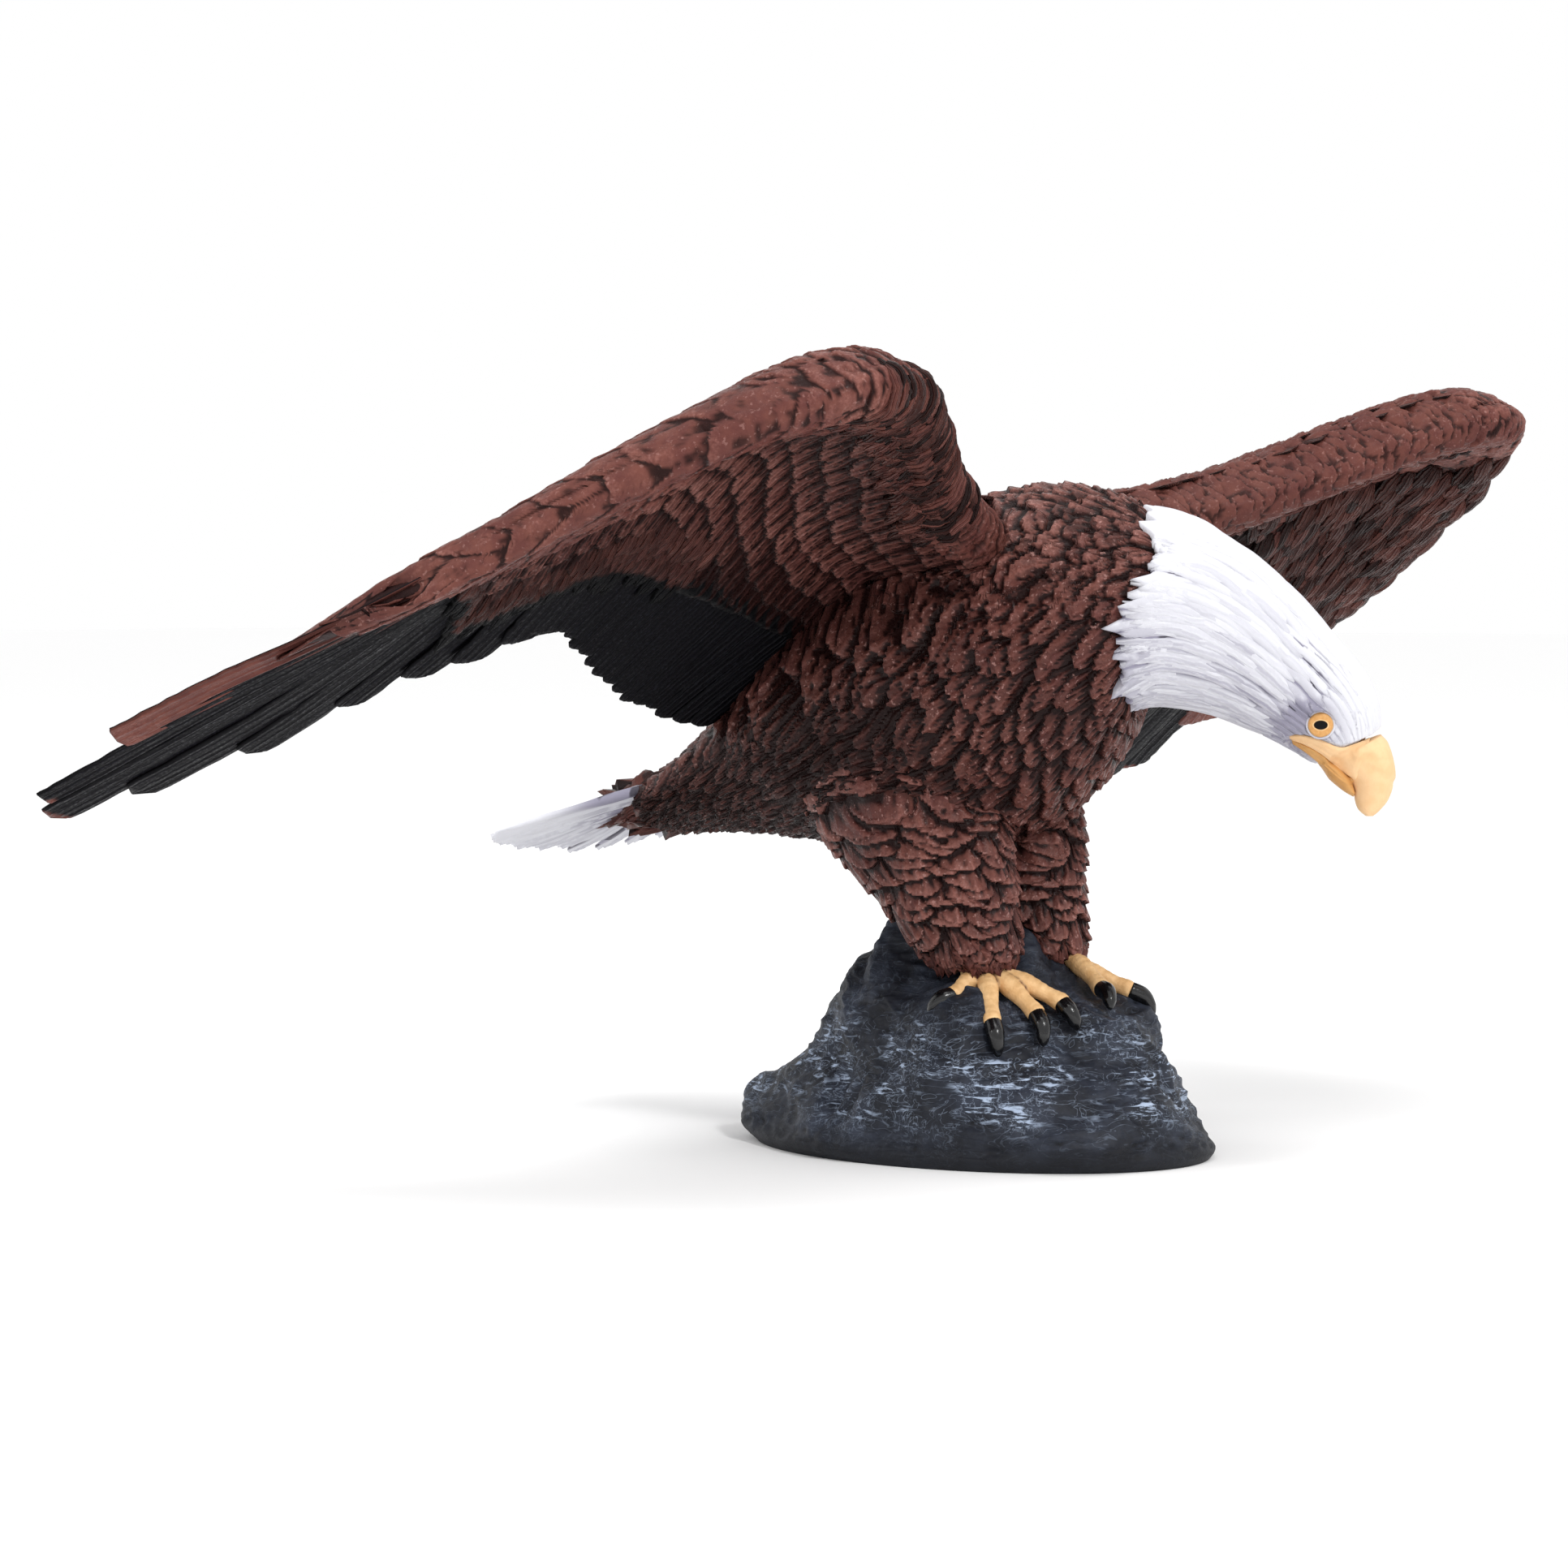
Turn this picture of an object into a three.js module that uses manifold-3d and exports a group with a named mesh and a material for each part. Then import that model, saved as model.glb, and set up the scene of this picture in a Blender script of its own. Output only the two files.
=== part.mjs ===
// A painted toy figurine of a bald eagle on a rock: wings raised and swept back, head bent down
// and turned to its left, tail fanned. Millimetres, +Z up. The bird faces -Y and its left is +X.
// The origin is the middle of the rock's flat underside.
import * as THREE from 'three';
import { mergeVertices } from 'three/addons/utils/BufferGeometryUtils.js';
import Module from 'manifold-3d';

const wasm = await Module();
wasm.setup();

const GAP = 0.3; // left between pieces that touch
const NECK_TURN = 38; // degrees, head to the bird's left of the body's line
const NECK_ROOT = [0, -24.5]; // x, y under the edge of the white hood
const HIP_HALF = 7; // half the distance between the legs
const ANKLE_Y = -4.6;
const SOLE_LIFT = 1.1; // from the rock to a toe's axis
const PAD_LIFT = 1.2; // from the rock to the toes' shared root
const SHANK_LIFT = 0.4; // from the rock to the end of the leg's axis
const TIP_LIFT = 0.8; // from the rock to the axis of a claw's tip
const TOE_RADIUS = 1.35;
const TOE_TAPER = [1.25, 1, 0.9]; // shares of the toe's radius, root to end
const SHANK_RADII = [2.3, 2.1, 2.4];
const CLAW_RADII = [0.92, 1.15, 0.35];
const CLAW_ARCH = 0.55; // rise of a claw's middle over the line from its root to its tip
const EYE_RADIUS = 1.7;
const EYE_ALONG = 20.9; // along the head's line from NECK_ROOT
const EYE_HEIGHT = 52.5;
const EYE_OUT = 4.5; // from the head's middle plane to the eyeball's centre
const WING_SPLIT = 0.42; // share of a feather line that the flesh and coverts take
const BLADE = 0.62; // half thickness of the flight feathers
const WRIST = 0.5; // feather line that divides forearm from hand
const SECONDARIES = 8; // scallops drawn on the forearm's trailing edge
const PRIMARIES = 10;
const TAIL_FEATHERS = 8;
const TAIL_ROOT = new THREE.Vector3(0, 38, 47);
const TAIL_SPREAD = 40; // degrees either side
const TAIL_LENGTH = 32.2; // root to tip in the middle
const TAIL_FLARE = 2.4; // more length at the outer feathers
const TAIL_DROOP = 21.5; // degrees below level
const TAIL_HALF_THICK = 0.7;

const PAINT = {
  rock: { color: 0x3f454e, roughness: 0.75 },
  brown: { color: 0x55322d, roughness: 0.6 },
  black: { color: 0x1d1c22, roughness: 0.6 },
  white: { color: 0xebebf2, roughness: 0.65 },
  yellow: { color: 0xd9aa62, roughness: 0.6 },
  bill: { color: 0xf3c98c, roughness: 0.5 },
  claw: { color: 0x0b0b0d, roughness: 0.2 },
  eye: { color: 0xe2a94e, roughness: 0.3 },
};

const radians = THREE.MathUtils.degToRad;
const point = (values) => new THREE.Vector3(...values);

// ---- closed shapes ----

// Catmull-Rom value of each column of a table of rows, at row number t.
function rowAt(rows, t) {
  const last = rows.length - 1;
  const i = Math.min(Math.floor(t), last - 1);
  const f = t - i;
  const [before, from, to, after] = [Math.max(i - 1, 0), i, i + 1, Math.min(i + 2, last)].map((k) => rows[k]);
  return from.map((a, k) => {
    const b = to[k];
    const startSlope = (b - before[k]) / 2;
    const endSlope = (after[k] - a) / 2;
    return a + f * startSlope + f * f * (3 * (b - a) - 2 * startSlope - endSlope)
      + f * f * f * (2 * (a - b) + startSlope + endSlope);
  });
}

function span(from, to, steps) {
  return Array.from({ length: steps + 1 }, (_, k) => from + ((to - from) * k) / steps);
}

function signedVolume(vertices, faces) {
  const cross = new THREE.Vector3();
  return faces.reduce((sum, [a, b, c]) => sum + vertices[a].dot(cross.crossVectors(vertices[b], vertices[c])), 0) / 6;
}

// A geometry from vertices and triangles, turned to face outwards.
function shell(vertices, faces) {
  const turned = signedVolume(vertices, faces) < 0 ? faces.map(([a, b, c]) => [a, c, b]) : faces;
  const geometry = new THREE.BufferGeometry().setFromPoints(vertices);
  geometry.setIndex(turned.flat());
  return geometry;
}

// Rings of points joined into a tube, each end closed by a fan.
function tube(rings) {
  const around = rings[0].length;
  const vertices = rings.flat();
  const faces = [];
  for (let r = 0; r + 1 < rings.length; r += 1) {
    for (let k = 0; k < around; k += 1) {
      const a = r * around + k;
      const b = r * around + ((k + 1) % around);
      faces.push([a, b, a + around], [b, b + around, a + around]);
    }
  }
  [0, rings.length - 1].forEach((r) => {
    const hub = vertices.length;
    vertices.push(rings[r].reduce((sum, p) => sum.add(p), new THREE.Vector3()).divideScalar(around));
    for (let k = 0; k < around; k += 1) {
      const a = r * around + k;
      const b = r * around + ((k + 1) % around);
      faces.push(r ? [a, b, hub] : [b, a, hub]);
    }
  });
  return shell(vertices, faces);
}

// Two grids of the same size, upper and lower, closed round their border.
function slab(upper, lower) {
  const rows = upper.length;
  const columns = upper[0].length;
  const vertices = [...upper.flat(), ...lower.flat()];
  const under = rows * columns;
  const faces = [];
  for (let r = 0; r + 1 < rows; r += 1) {
    for (let c = 0; c + 1 < columns; c += 1) {
      const a = r * columns + c;
      const [b, d, e] = [a + 1, a + columns, a + columns + 1];
      faces.push([a, b, e], [a, e, d], [under + a, under + e, under + b], [under + a, under + d, under + e]);
    }
  }
  const border = [];
  for (let c = 0; c < columns - 1; c += 1) border.push(c);
  for (let r = 0; r < rows - 1; r += 1) border.push(r * columns + columns - 1);
  for (let c = columns - 1; c > 0; c -= 1) border.push((rows - 1) * columns + c);
  for (let r = rows - 1; r > 0; r -= 1) border.push(r * columns);
  border.forEach((a, k) => {
    const b = border[(k + 1) % border.length];
    faces.push([a, under + a, b], [b, under + a, under + b]);
  });
  return shell(vertices, faces);
}

function ring(centre, up, out, around) {
  return Array.from({ length: around }, (_, k) => {
    const angle = (2 * Math.PI * k) / around;
    return centre.clone().addScaledVector(up, Math.cos(angle)).addScaledVector(out, Math.sin(angle));
  });
}

// A round bar along points, with a radius at each one.
function bar(points, radii, around, steps) {
  const curve = new THREE.CatmullRomCurve3(points);
  const frames = curve.computeFrenetFrames(steps);
  const rings = span(0, 1, steps).map((t, k) => {
    const [radius] = rowAt(radii.map((r) => [r]), t * (radii.length - 1));
    const up = frames.normals[k].clone().multiplyScalar(radius);
    return ring(curve.getPointAt(t), up, frames.binormals[k].clone().multiplyScalar(radius), around);
  });
  return tube(rings);
}

// ---- joins and cuts ----

function solid(geometry) {
  const bare = geometry.clone();
  bare.deleteAttribute('normal');
  bare.deleteAttribute('uv');
  const merged = mergeVertices(bare, 1e-4);
  const vertProperties = new Float32Array(merged.attributes.position.array);
  return new wasm.Manifold(new wasm.Mesh({ numProp: 3, vertProperties, triVerts: new Uint32Array(merged.index.array) }));
}

function geometryOf(made) {
  const mesh = made.getMesh();
  const geometry = new THREE.BufferGeometry();
  geometry.setAttribute('position', new THREE.BufferAttribute(new Float32Array(mesh.vertProperties), 3));
  geometry.setIndex(new THREE.BufferAttribute(new Uint32Array(mesh.triVerts), 1));
  return geometry;
}

// The largest piece of a geometry once the others are cut out of it.
function without(geometry, ...others) {
  const left = others.reduce((rest, other) => rest.subtract(solid(other)), solid(geometry));
  const pieces = left.decompose().sort((a, b) => b.volume() - a.volume());
  return geometryOf(pieces[0]);
}

function joined(...parts) {
  return geometryOf(parts.map(solid).reduce((all, next) => all.add(next)));
}

// ---- rock ----

// Rings of the rock: height, centre x and y, half width, half length, ridge between the feet,
// hollow under the claws.
const ROCK_RINGS = [
  [0, 0, 0, 21.9, 30.8, 0, 0],
  [1.6, 0, 0, 23, 31.9, 0, 0],
  [4.5, 0.2, -0.2, 22.9, 31, 0, 0],
  [9, 0.3, -0.3, 20.4, 27.4, 0, 0.6],
  [13, 0.6, -0.6, 18.6, 23.6, 0, 2.6],
  [16.5, 1, 0.2, 17.2, 21.2, 0, 1.8],
  [19, 0.8, 1.7, 15.2, 17.6, 0, 0.4],
  [21, 0.2, 3.8, 12.4, 13.8, 2, 0],
  [24, 0, 5.2, 9.4, 10.2, 4, 0],
  [28, 0.2, 4.9, 7.3, 7.4, 2.8, 0],
  [32, 0.6, 4.4, 6, 6.6, 1.5, 0],
  [35.5, 1, 4, 4.6, 5.4, 0.3, 0],
];
const RIDGE_ANGLE = radians(-80);
const RIDGE_WIDTH = 0.4; // radians
const HOLLOW_ANGLE = radians(-112);
const HOLLOW_WIDTH = 0.55;

// Lumps that grow from nothing at the flat underside.
function lumps(angle, height) {
  const size = Math.min(height / 6, 1);
  return 1 + size * (0.035 * Math.sin(3 * angle + 0.9 + 0.21 * height) + 0.03 * Math.sin(5 * angle - 0.27 * height)
    + 0.018 * Math.sin(9 * angle + 0.6 * height));
}

// A bump that stands highest at one angle round the rock.
function bump(angle, middle, width) {
  const turn = Math.atan2(Math.sin(angle - middle), Math.cos(angle - middle));
  return Math.exp(-((turn / width) ** 2));
}

function rockRadius(row, angle) {
  const [height, , , halfWidth, halfLength, ridge, hollow] = row;
  const ellipse = 1 / Math.hypot(Math.cos(angle) / halfWidth, Math.sin(angle) / halfLength);
  return ellipse * lumps(angle, height) + ridge * bump(angle, RIDGE_ANGLE, RIDGE_WIDTH)
    - hollow * bump(angle, HOLLOW_ANGLE, HOLLOW_WIDTH);
}

function rock(grow = 0) {
  const levels = span(0, ROCK_RINGS.length - 1, 13).map((t) => rowAt(ROCK_RINGS, t));
  const rings = levels.map((row) => Array.from({ length: 32 }, (_, k) => {
    const angle = (2 * Math.PI * k) / 32;
    const radius = rockRadius(row, angle) + grow;
    return new THREE.Vector3(row[1] + radius * Math.cos(angle), row[2] + radius * Math.sin(angle), row[0] + grow);
  }));
  return tube(rings);
}

// Height of the rock's surface over a point, found by stepping down from its top.
function rockHeight(x, y) {
  const top = ROCK_RINGS.length - 1;
  for (let t = top; t > 0; t -= 0.02) {
    const row = rowAt(ROCK_RINGS, t);
    const reach = Math.hypot(x - row[1], y - row[2]);
    if (reach <= rockRadius(row, Math.atan2(y - row[2], x - row[1]))) return row[0];
  }
  return 0;
}

// ---- trunk, neck and head ----

// A point in the head's own plane: distance along its line, and height.
function onHead(along, height, out = 0) {
  const turn = radians(NECK_TURN);
  return new THREE.Vector3(
    NECK_ROOT[0] + along * Math.sin(turn) + out * Math.cos(turn),
    NECK_ROOT[1] - along * Math.cos(turn) + out * Math.sin(turn),
    height,
  );
}

const bodyRow = (topY, topZ, bottomY, bottomZ, halfWidth, turn) => [0, topY, topZ, 0, bottomY, bottomZ, halfWidth, turn];
const headRow = (topAlong, topZ, bottomAlong, bottomZ, halfWidth) => [
  ...onHead(topAlong, topZ).toArray(), ...onHead(bottomAlong, bottomZ).toArray(), halfWidth, NECK_TURN];

// Sections from the tail's root to the bill: top point, bottom point, half width, turn.
const SPINE = [
  bodyRow(57, 41.6, 54.5, 37.8, 5.5, 0),
  bodyRow(52, 43.6, 49, 38, 8.2, 0),
  bodyRow(43, 47.6, 40, 38.8, 11, 0),
  bodyRow(33, 55.6, 29, 38.5, 13.6, 0),
  bodyRow(22, 65.8, 17, 37.6, 16.8, 0),
  bodyRow(11, 74.2, 5, 37.2, 18, 0),
  bodyRow(0, 79, -6, 39.4, 18, 0),
  bodyRow(-11, 80.8, -14, 44.6, 17.2, 5),
  bodyRow(-19, 79.8, -20, 50.8, 15, 18),
  headRow(0.8, 77.8, -0.8, 55.4, 11.8),
  headRow(6.8, 76.4, 4.8, 55.5, 10.3),
  headRow(13, 72.8, 9.6, 54.2, 8.8),
  headRow(18.6, 67.8, 13.8, 52.1, 7.5),
  headRow(22.8, 62.9, 16.9, 50.2, 6.6),
  headRow(26.2, 59, 18.9, 48.7, 6),
  headRow(28, 55.2, 20, 47.9, 5.1),
  headRow(28.3, 51.9, 20.5, 47.5, 4.1),
];
const HOOD_EDGE = 9; // row where the brown body ends and the white neck begins
const NAPE = 11; // row where the neck ends and the head begins

function spineSection(t, around, grow) {
  const row = rowAt(SPINE, t);
  const top = point(row.slice(0, 3));
  const bottom = point(row.slice(3, 6));
  const [halfWidth, turn] = row.slice(6);
  const up = top.clone().sub(bottom).multiplyScalar(0.5);
  const out = new THREE.Vector3(Math.cos(radians(turn)), Math.sin(radians(turn)), 0);
  return ring(
    top.add(bottom).multiplyScalar(0.5),
    up.setLength(up.length() + grow),
    out.multiplyScalar(halfWidth + grow),
    around,
  );
}

function spinePart(from, to, steps, around, grow = 0) {
  return tube(span(from, to, steps).map((t) => spineSection(t, around, grow)));
}

const ROW_GAP = 0.035; // of a row, which leaves about GAP between sections
const trunk = (grow = 0) => spinePart(0, HOOD_EDGE - ROW_GAP, 16, 28, grow);
const neck = () => spinePart(HOOD_EDGE, NAPE - ROW_GAP, 4, 22);
const head = (grow = 0) => spinePart(NAPE, SPINE.length - 1, 8, 22, grow);

// ---- bill and eyes ----

const BILL_ROWS = [
  headRow(28.35, 51.4, 21.9, 48.3, 3.9),
  headRow(29.2, 49.4, 23.3, 46.9, 3.5),
  headRow(29.7, 47.3, 24.5, 45.7, 2.9),
  headRow(29.7, 45.5, 25, 44.6, 2.3),
  headRow(29.1, 43.6, 25.1, 43.5, 1.7),
  headRow(28.1, 42.3, 25.5, 42.4, 1.2),
  headRow(27.3, 41.6, 26.4, 41.6, 0.6),
];
const CHIN_ROWS = [
  headRow(22, 48.9, 20.7, 47.2, 3.1),
  headRow(23.4, 47.6, 22.1, 45.9, 2.7),
  headRow(24.6, 46, 23.7, 44.6, 2),
  headRow(25.1, 44.6, 24.9, 43.9, 1),
];

function mandible(rows, steps, around, grow = 0) {
  const rings = span(0, rows.length - 1, steps).map((t) => {
    const row = rowAt(rows, t);
    const top = point(row.slice(0, 3));
    const bottom = point(row.slice(3, 6));
    const up = top.clone().sub(bottom).multiplyScalar(0.5);
    const out = onHead(0, 0, row[6] + grow).sub(onHead(0, 0));
    return ring(top.add(bottom).multiplyScalar(0.5), up.setLength(up.length() + grow), out, around);
  });
  return tube(rings);
}

function eyeball(side, grow = 0) {
  const centre = onHead(EYE_ALONG, EYE_HEIGHT, side * EYE_OUT);
  return new THREE.SphereGeometry(EYE_RADIUS + grow, 10, 8).translate(centre.x, centre.y, centre.z);
}

// ---- legs ----

// Sections of the feathered thigh: height, centre x and y, half width, half length.
const THIGH_RINGS = [
  [54, 7.4, 6.5, 7, 11],
  [46, 7.9, 7, 7.5, 13.2],
  [38, 7.4, 3.8, 7, 12.6],
  [33, 7, 0.9, 6.6, 9.9],
  [27.5, 6.9, -2.3, 5.7, 7],
  [23.2, HIP_HALF, ANKLE_Y, 4.8, 5],
];

function thigh(side, grow = 0) {
  const rings = span(0, THIGH_RINGS.length - 1, 7).map((t) => {
    const [height, x, y, halfWidth, halfLength] = rowAt(THIGH_RINGS, t);
    const centre = new THREE.Vector3(side * x, y, height - grow);
    return ring(centre, new THREE.Vector3(0, halfLength + grow, 0), new THREE.Vector3(halfWidth + grow, 0, 0), 16);
  });
  return tube(rings);
}

// Toes of each foot: end of the toe and tip of its claw, as x away from the middle plane, and y.
const TOES = [
  { name: 'outer', left: { end: [13.4, -10.5], tip: [15.4, -12.3] }, right: { end: [12.9, -11.7], tip: [13.7, -13.2] } },
  { name: 'middle', left: { end: [10.6, -14.8], tip: [13, -16.6] }, right: { end: [7.5, -14.1], tip: [8.7, -16.1] } },
  { name: 'inner', left: { end: [3.7, -15.6], tip: [1.8, -18.4] }, right: { end: [3.6, -15.4], tip: [3.6, -17.6] } },
  { name: 'hind', left: { end: [12.9, -6], tip: [15.8, -4.2] }, right: { end: [13, -6.1], tip: [15.2, -4] } },
];

// The way square out of the rock's surface at x and y.
function outOfRock(x, y) {
  const step = 0.8;
  const slopeX = (rockHeight(x + step, y) - rockHeight(x - step, y)) / (2 * step);
  const slopeY = (rockHeight(x, y + step) - rockHeight(x, y - step)) / (2 * step);
  return new THREE.Vector3(-slopeX, -slopeY, 1).normalize();
}

// A point that stands clear of the rock's surface, square to it, at x and y.
function overRock(side, [x, y], lift) {
  return new THREE.Vector3(side * x, y, rockHeight(side * x, y)).addScaledVector(outOfRock(side * x, y), lift);
}

const toePlace = (side, each) => (side > 0 ? each.left : each.right);

function toePoints(side, each) {
  const { end } = toePlace(side, each);
  const pad = [HIP_HALF, ANKLE_Y - 1.2];
  const knuckle = [(pad[0] + end[0]) / 2, (pad[1] + end[1]) / 2];
  return [overRock(side, pad, PAD_LIFT), overRock(side, knuckle, SOLE_LIFT), overRock(side, end, SOLE_LIFT)];
}

const toe = (side, each) => bar(toePoints(side, each), TOE_TAPER.map((share) => share * TOE_RADIUS), 8, 4);

function foot(side) {
  const sole = overRock(side, [HIP_HALF, ANKLE_Y - 1], SHANK_LIFT);
  const ankle = new THREE.Vector3(side * HIP_HALF, ANKLE_Y, 24.4);
  const shank = bar([ankle, ankle.clone().lerp(sole, 0.5), sole], SHANK_RADII, 12, 4);
  return without(joined(shank, ...TOES.map((each) => toe(side, each))), rock(GAP), thigh(side, GAP));
}

// A claw goes on from its toe in a low arch and comes down to the rock without touching it.
function claw(side, each) {
  const points = toePoints(side, each);
  const onward = new THREE.CatmullRomCurve3(points).getTangent(1);
  const start = points[2].addScaledVector(onward, GAP * 2);
  const tip = overRock(side, toePlace(side, each).tip, TIP_LIFT);
  const middle = start.clone().lerp(tip, 0.5);
  middle.addScaledVector(outOfRock(middle.x, middle.y), CLAW_ARCH);
  return bar([start, middle, tip], CLAW_RADII, 8, 5);
}

// ---- wings ----

// Front edge of the wing from the shoulder round the wrist to the root of the outermost
// primary, for a wing on the +X side.
const FRONT_EDGE = [
  [8, -12, 74],
  [21, -15.4, 77],
  [34, -21.3, 80.9],
  [46, -28.6, 85.8],
  [57, -34.8, 89.6],
  [65.5, -35.4, 90],
  [73.4, -29.4, 87],
  [79.8, -20, 82.3],
  [85.2, -9.7, 77],
  [89.4, 0.5, 71.7],
  [93.2, 10, 67],
];
// Tips of the flight feathers on as many feather lines, and the front edge's half thickness.
const TIPS = [
  [12.5, 34.4, 50.9],
  [21, 35.2, 52.9],
  [32, 31.5, 55.2],
  [42, 26.6, 59.3],
  [50, 22.8, 62.7],
  [56, 22.4, 62.9],
  [62.3, 27.2, 59.8],
  [70.5, 36.3, 55.2],
  [81, 45, 49.6],
  [100.8, 56.6, 42.7],
  [105.8, 38.6, 52.3],
];
const EDGE_HALF = [[5.5], [4], [3.4], [3.3], [3.3], [3.2], [2.9], [2.6], [2.2], [1.9], [1.6]];
const CAMBER = 0.085; // of the chord at the forearm
const TIP_CAMBER = 0.015; // of the chord at the outermost primary
const LEFT_DROOP = 2.5; // by which the left hand's tips hang lower than the right's

const lineRow = (rows, s) => rowAt(rows, s * (rows.length - 1));

// Upward normal of the flat wing at feather line s.
function wingNormal(s) {
  const near = Math.max(s - 0.03, 0);
  const far = Math.min(s + 0.03, 1);
  const middle = (t) => point(lineRow(FRONT_EDGE, t)).add(point(lineRow(TIPS, t)));
  const along = middle(far).sub(middle(near));
  const chord = point(lineRow(TIPS, s)).sub(point(lineRow(FRONT_EDGE, s)));
  return along.cross(chord).normalize();
}

// Half thickness across the chord: a round front roll that thins to the feather blades.
function halfThickness(s, v) {
  const [edge] = lineRow(EDGE_HALF, s);
  const nose = 0.35 + 0.65 * Math.sqrt(Math.min(v / 0.055, 1));
  const fade = THREE.MathUtils.smoothstep(v, 0.07, 0.42);
  return (edge * (1 - fade) + BLADE * fade) * nose;
}

function camber(s) {
  return THREE.MathUtils.lerp(CAMBER, TIP_CAMBER, THREE.MathUtils.smoothstep(s, WRIST, 0.9));
}

// Upper and lower points of the wing at feather line s, share v of the way to the tip.
function wingPair(side, s, v, back = 0) {
  const front = point(lineRow(FRONT_EDGE, s));
  const chord = point(lineRow(TIPS, s)).sub(front);
  if (side > 0) chord.z -= LEFT_DROOP * THREE.MathUtils.smoothstep(s, WRIST, 0.8);
  const length = chord.length();
  const normal = wingNormal(s);
  const reach = v * (1 - back / length);
  const bend = camber(s) * length * Math.sin(Math.PI * reach ** 0.75);
  const middle = front.addScaledVector(chord, reach).addScaledVector(normal, bend);
  const half = halfThickness(s, reach) * (1 - 0.45 * THREE.MathUtils.smoothstep(s, 0.97, 1));
  return [half, -half].map((lift) => middle.clone().addScaledVector(normal, lift).multiply(new THREE.Vector3(side, 1, 1)));
}

function wingPatch(side, lines, shares, backAt = () => 0) {
  const pairs = shares.map((v) => lines.map((s) => wingPair(side, s, v, v * backAt(s))));
  return slab(pairs.map((row) => row.map(([upper]) => upper)), pairs.map((row) => row.map(([, lower]) => lower)));
}

const NOSE_SHARES = [0, 0.02, 0.055, 0.11, 0.18, 0.26, WING_SPLIT];
const LINE_GAP = 0.003; // of the wing's feather lines, about GAP at the wrist
const SHARE_GAP = 0.012; // of a feather line, which leaves GAP where facets differ

// How far a feather's tip lies back from the scalloped edge, between its two notches.
function scallop(s, from, to, count, depth) {
  const place = ((s - from) / (to - from)) * count;
  const across = place - Math.min(Math.floor(place + 1e-6), count - 1);
  return depth * (2 * across - 1) ** 2;
}

const forearm = (side) => wingPatch(side, span(0, WRIST - LINE_GAP, 12), NOSE_SHARES);
const hand = (side) => wingPatch(side, span(WRIST, 1, 15), NOSE_SHARES);

function secondaries(side) {
  const end = WRIST - LINE_GAP;
  const lines = span(0, end, SECONDARIES * 3);
  const shares = span(WING_SPLIT + SHARE_GAP, 1, 4);
  return wingPatch(side, lines, shares, (s) => scallop(s, 0, end, SECONDARIES, 1.8));
}

function primaries(side) {
  const lines = span(WRIST, 1, PRIMARIES * 3);
  const shares = span(WING_SPLIT + SHARE_GAP, 1, 5);
  return wingPatch(side, lines, shares, (s) => scallop(s, WRIST, 1, PRIMARIES, 1.5 + 3 * (s - WRIST)));
}

// ---- tail ----

function tail() {
  const angles = span(-TAIL_SPREAD, TAIL_SPREAD, TAIL_FEATHERS * 3);
  const shares = [0.2, 0.45, 0.7, 0.87, 1];
  const droop = radians(TAIL_DROOP);
  const grid = (lift) => shares.map((v) => angles.map((angle) => {
    const spread = angle / TAIL_SPREAD;
    const place = ((spread + 1) / 2) * TAIL_FEATHERS;
    const across = place - Math.min(Math.floor(place + 1e-6), TAIL_FEATHERS - 1);
    const back = v === 1 ? 1.1 * (2 * across - 1) ** 2 : 0;
    const length = (TAIL_LENGTH + TAIL_FLARE * spread ** 2) * v - back;
    const flat = length * Math.cos(radians(angle));
    const offset = new THREE.Vector3(
      length * Math.sin(radians(angle)),
      flat * Math.cos(droop),
      lift * (1.6 - 0.6 * v) - flat * Math.sin(droop),
    );
    return offset.add(TAIL_ROOT);
  }));
  return slab(grid(TAIL_HALF_THICK), grid(-TAIL_HALF_THICK));
}

// ---- the figurine ----

const figurine = new THREE.Group();

function add(name, paint, geometry) {
  const mesh = new THREE.Mesh(geometry, new THREE.MeshStandardMaterial({ ...paint, metalness: 0 }));
  mesh.name = name;
  mesh.geometry.computeVertexNormals();
  figurine.add(mesh);
}

const SIDES = [['left', 1], ['right', -1]];

add('rock_base', PAINT.rock, without(rock(), trunk(GAP), thigh(1, GAP), thigh(-1, GAP)));
add('trunk', PAINT.brown, trunk());
add('neck', PAINT.white, neck());
add('head', PAINT.white, without(head(), eyeball(1, GAP), eyeball(-1, GAP)));
add('bill_upper', PAINT.bill, mandible(BILL_ROWS, 8, 12));
add('bill_lower', PAINT.bill, without(mandible(CHIN_ROWS, 4, 10), head(GAP), mandible(BILL_ROWS, 8, 12, GAP)));
add('tail', PAINT.white, without(tail(), trunk(GAP)));
SIDES.forEach(([sideName, side]) => {
  add(`eye_${sideName}`, PAINT.eye, eyeball(side));
  add(`thigh_${sideName}`, PAINT.brown, without(thigh(side), trunk(GAP)));
  add(`foot_${sideName}`, PAINT.yellow, foot(side));
  TOES.forEach((each) => add(`claw_${each.name}_${sideName}`, PAINT.claw, claw(side, each)));
  add(`wing_forearm_${sideName}`, PAINT.brown, without(forearm(side), trunk(GAP)));
  add(`wing_hand_${sideName}`, PAINT.brown, hand(side));
  add(`wing_secondaries_${sideName}`, PAINT.black, without(secondaries(side), trunk(GAP)));
  add(`wing_primaries_${sideName}`, PAINT.black, primaries(side));
});

export default figurine;
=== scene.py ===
import math
from functools import partial

import bmesh
import bpy
import numpy as np
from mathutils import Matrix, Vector, noise
from mathutils.bvhtree import BVHTree


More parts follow.
